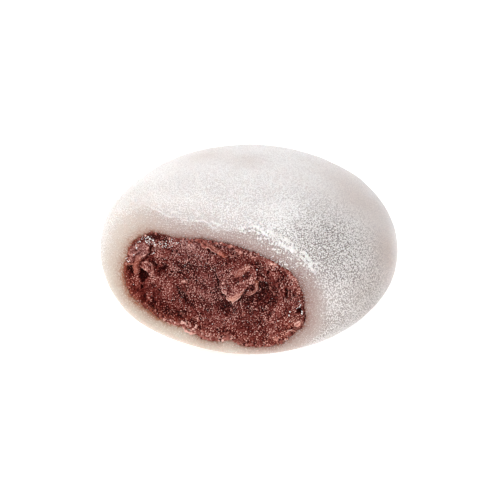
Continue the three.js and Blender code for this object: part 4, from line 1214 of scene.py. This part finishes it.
tone_each = np.clip(0.52 + 0.20 * rng.normal(size=n) + 0.25 * (far > 0.1) + 0.22 * bell(deg - 265, 60) + 0.12 * bell(deg - 30, 30) - 0.15 * end, 0.05, 1)
crumbs = blobs("bean_crumbs", crumb_at, crumb_out, size, 80,
               {"tone": tone_each, "wet": 0.7 * bell(deg - 150, 18) + 0.7 * bell(deg - 358, 6), "peel": 1.0 * (far > 0.1)}, 85, 0.75, 0.35, 0.10, 0.4)

c = Nodes("bean_pieces")
tone = c.math("ADD", c.attr("tone"), c.math("MULTIPLY", c.math("SUBTRACT", c.noise(3000, 2.0, 0.6), 0.5), 0.8), clamp=True)
colour = c.ramp(tone, [(0.0, (32, 2, 1)), (0.25, (72, 18, 14)), (0.50, (120, 56, 49)), (0.75, (172, 106, 95)), (1.0, (238, 190, 177))])
colour = c.mix(c.math("MULTIPLY", c.attr("peel"), 0.5), colour, (160, 82, 58))
shader = c.principled(Base_Color=colour, Roughness=c.fit(c.attr("wet"), 0.0, 1.0, 0.42, 0.08),
                      Normal=c.bump(c.noise(7000, 2.0, 0.6), 0.5, 0.00003))
shader.inputs["Specular IOR Level"].default_value = 0.10
for piece in (bean, husks, crumbs):
    piece.data.materials.append(c.material)
    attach(piece, "root")

# ---------------------------------------------------------------------------
# 3. Floor, light, camera
# ---------------------------------------------------------------------------
bpy.ops.mesh.primitive_plane_add(size=6.0, location=(0, 0, -0.00005))
floor = bpy.context.object
floor.name = "floor"
f = Nodes("floor")
fs = f.principled(Base_Color=(0.96, 0.96, 0.96, 1.0), Roughness=0.9)
fs.inputs["Emission Color"].default_value = (1, 1, 1, 1)
fs.inputs["Emission Strength"].default_value = 0.45
floor.data.materials.append(f.material)

world = bpy.data.worlds.new("studio")
bpy.context.scene.world = world
world.use_nodes = True
world.node_tree.nodes["Background"].inputs["Color"].default_value = (1, 1, 1, 1)
world.node_tree.nodes["Background"].inputs["Strength"].default_value = 0.595

azimuth, elevation = math.radians(VIEW_ROUND), math.radians(VIEW_DOWN)
back = Vector((math.sin(azimuth) * math.cos(elevation), -math.cos(azimuth) * math.cos(elevation), math.sin(elevation)))
right = Vector((math.cos(azimuth), math.sin(azimuth), 0))
upv = back.cross(right)
centre = Vector(SHIFT / 1000.0)


def softbox(name, toward, distance, size, power):
    """A square light, `toward` given as right, up, back of the camera."""
    direction = (right * toward[0] + upv * toward[1] + back * toward[2]).normalized()
    light = bpy.data.lights.new(name, "AREA")
    light.shape = "SQUARE"
    light.size = size
    light.energy = power
    ob = bpy.data.objects.new(name, light)
    ob.location = centre + direction * distance
    ob.rotation_euler = direction.to_track_quat("Z", "Y").to_euler()
    bpy.context.scene.collection.objects.link(ob)
    return ob


softbox("key", (-0.75, 1.0, 0.0), 0.6, 0.14, 1.80)
softbox("fill", (-1.0, -0.25, 0.9), 0.6, 0.06, 0.35)
softbox("front", (0.20, 0.45, 1.0), 0.6, 0.20, 1.08)

cam = bpy.data.cameras.new("camera")
cam.lens = LENS
cam.sensor_width = 36.0
cam.sensor_fit = "HORIZONTAL"
cam.clip_start = 0.01
cam.shift_x = 0.0022
cam.shift_y = -0.0108
camera = bpy.data.objects.new("camera", cam)
rotation = Matrix((right, upv, back)).transposed()
camera.matrix_world = Matrix.Translation(centre + back * (VIEW_FROM / 1000.0)) @ rotation.to_4x4()
bpy.context.scene.collection.objects.link(camera)
bpy.context.scene.camera = camera
bpy.context.scene.view_settings.view_transform = "Standard"
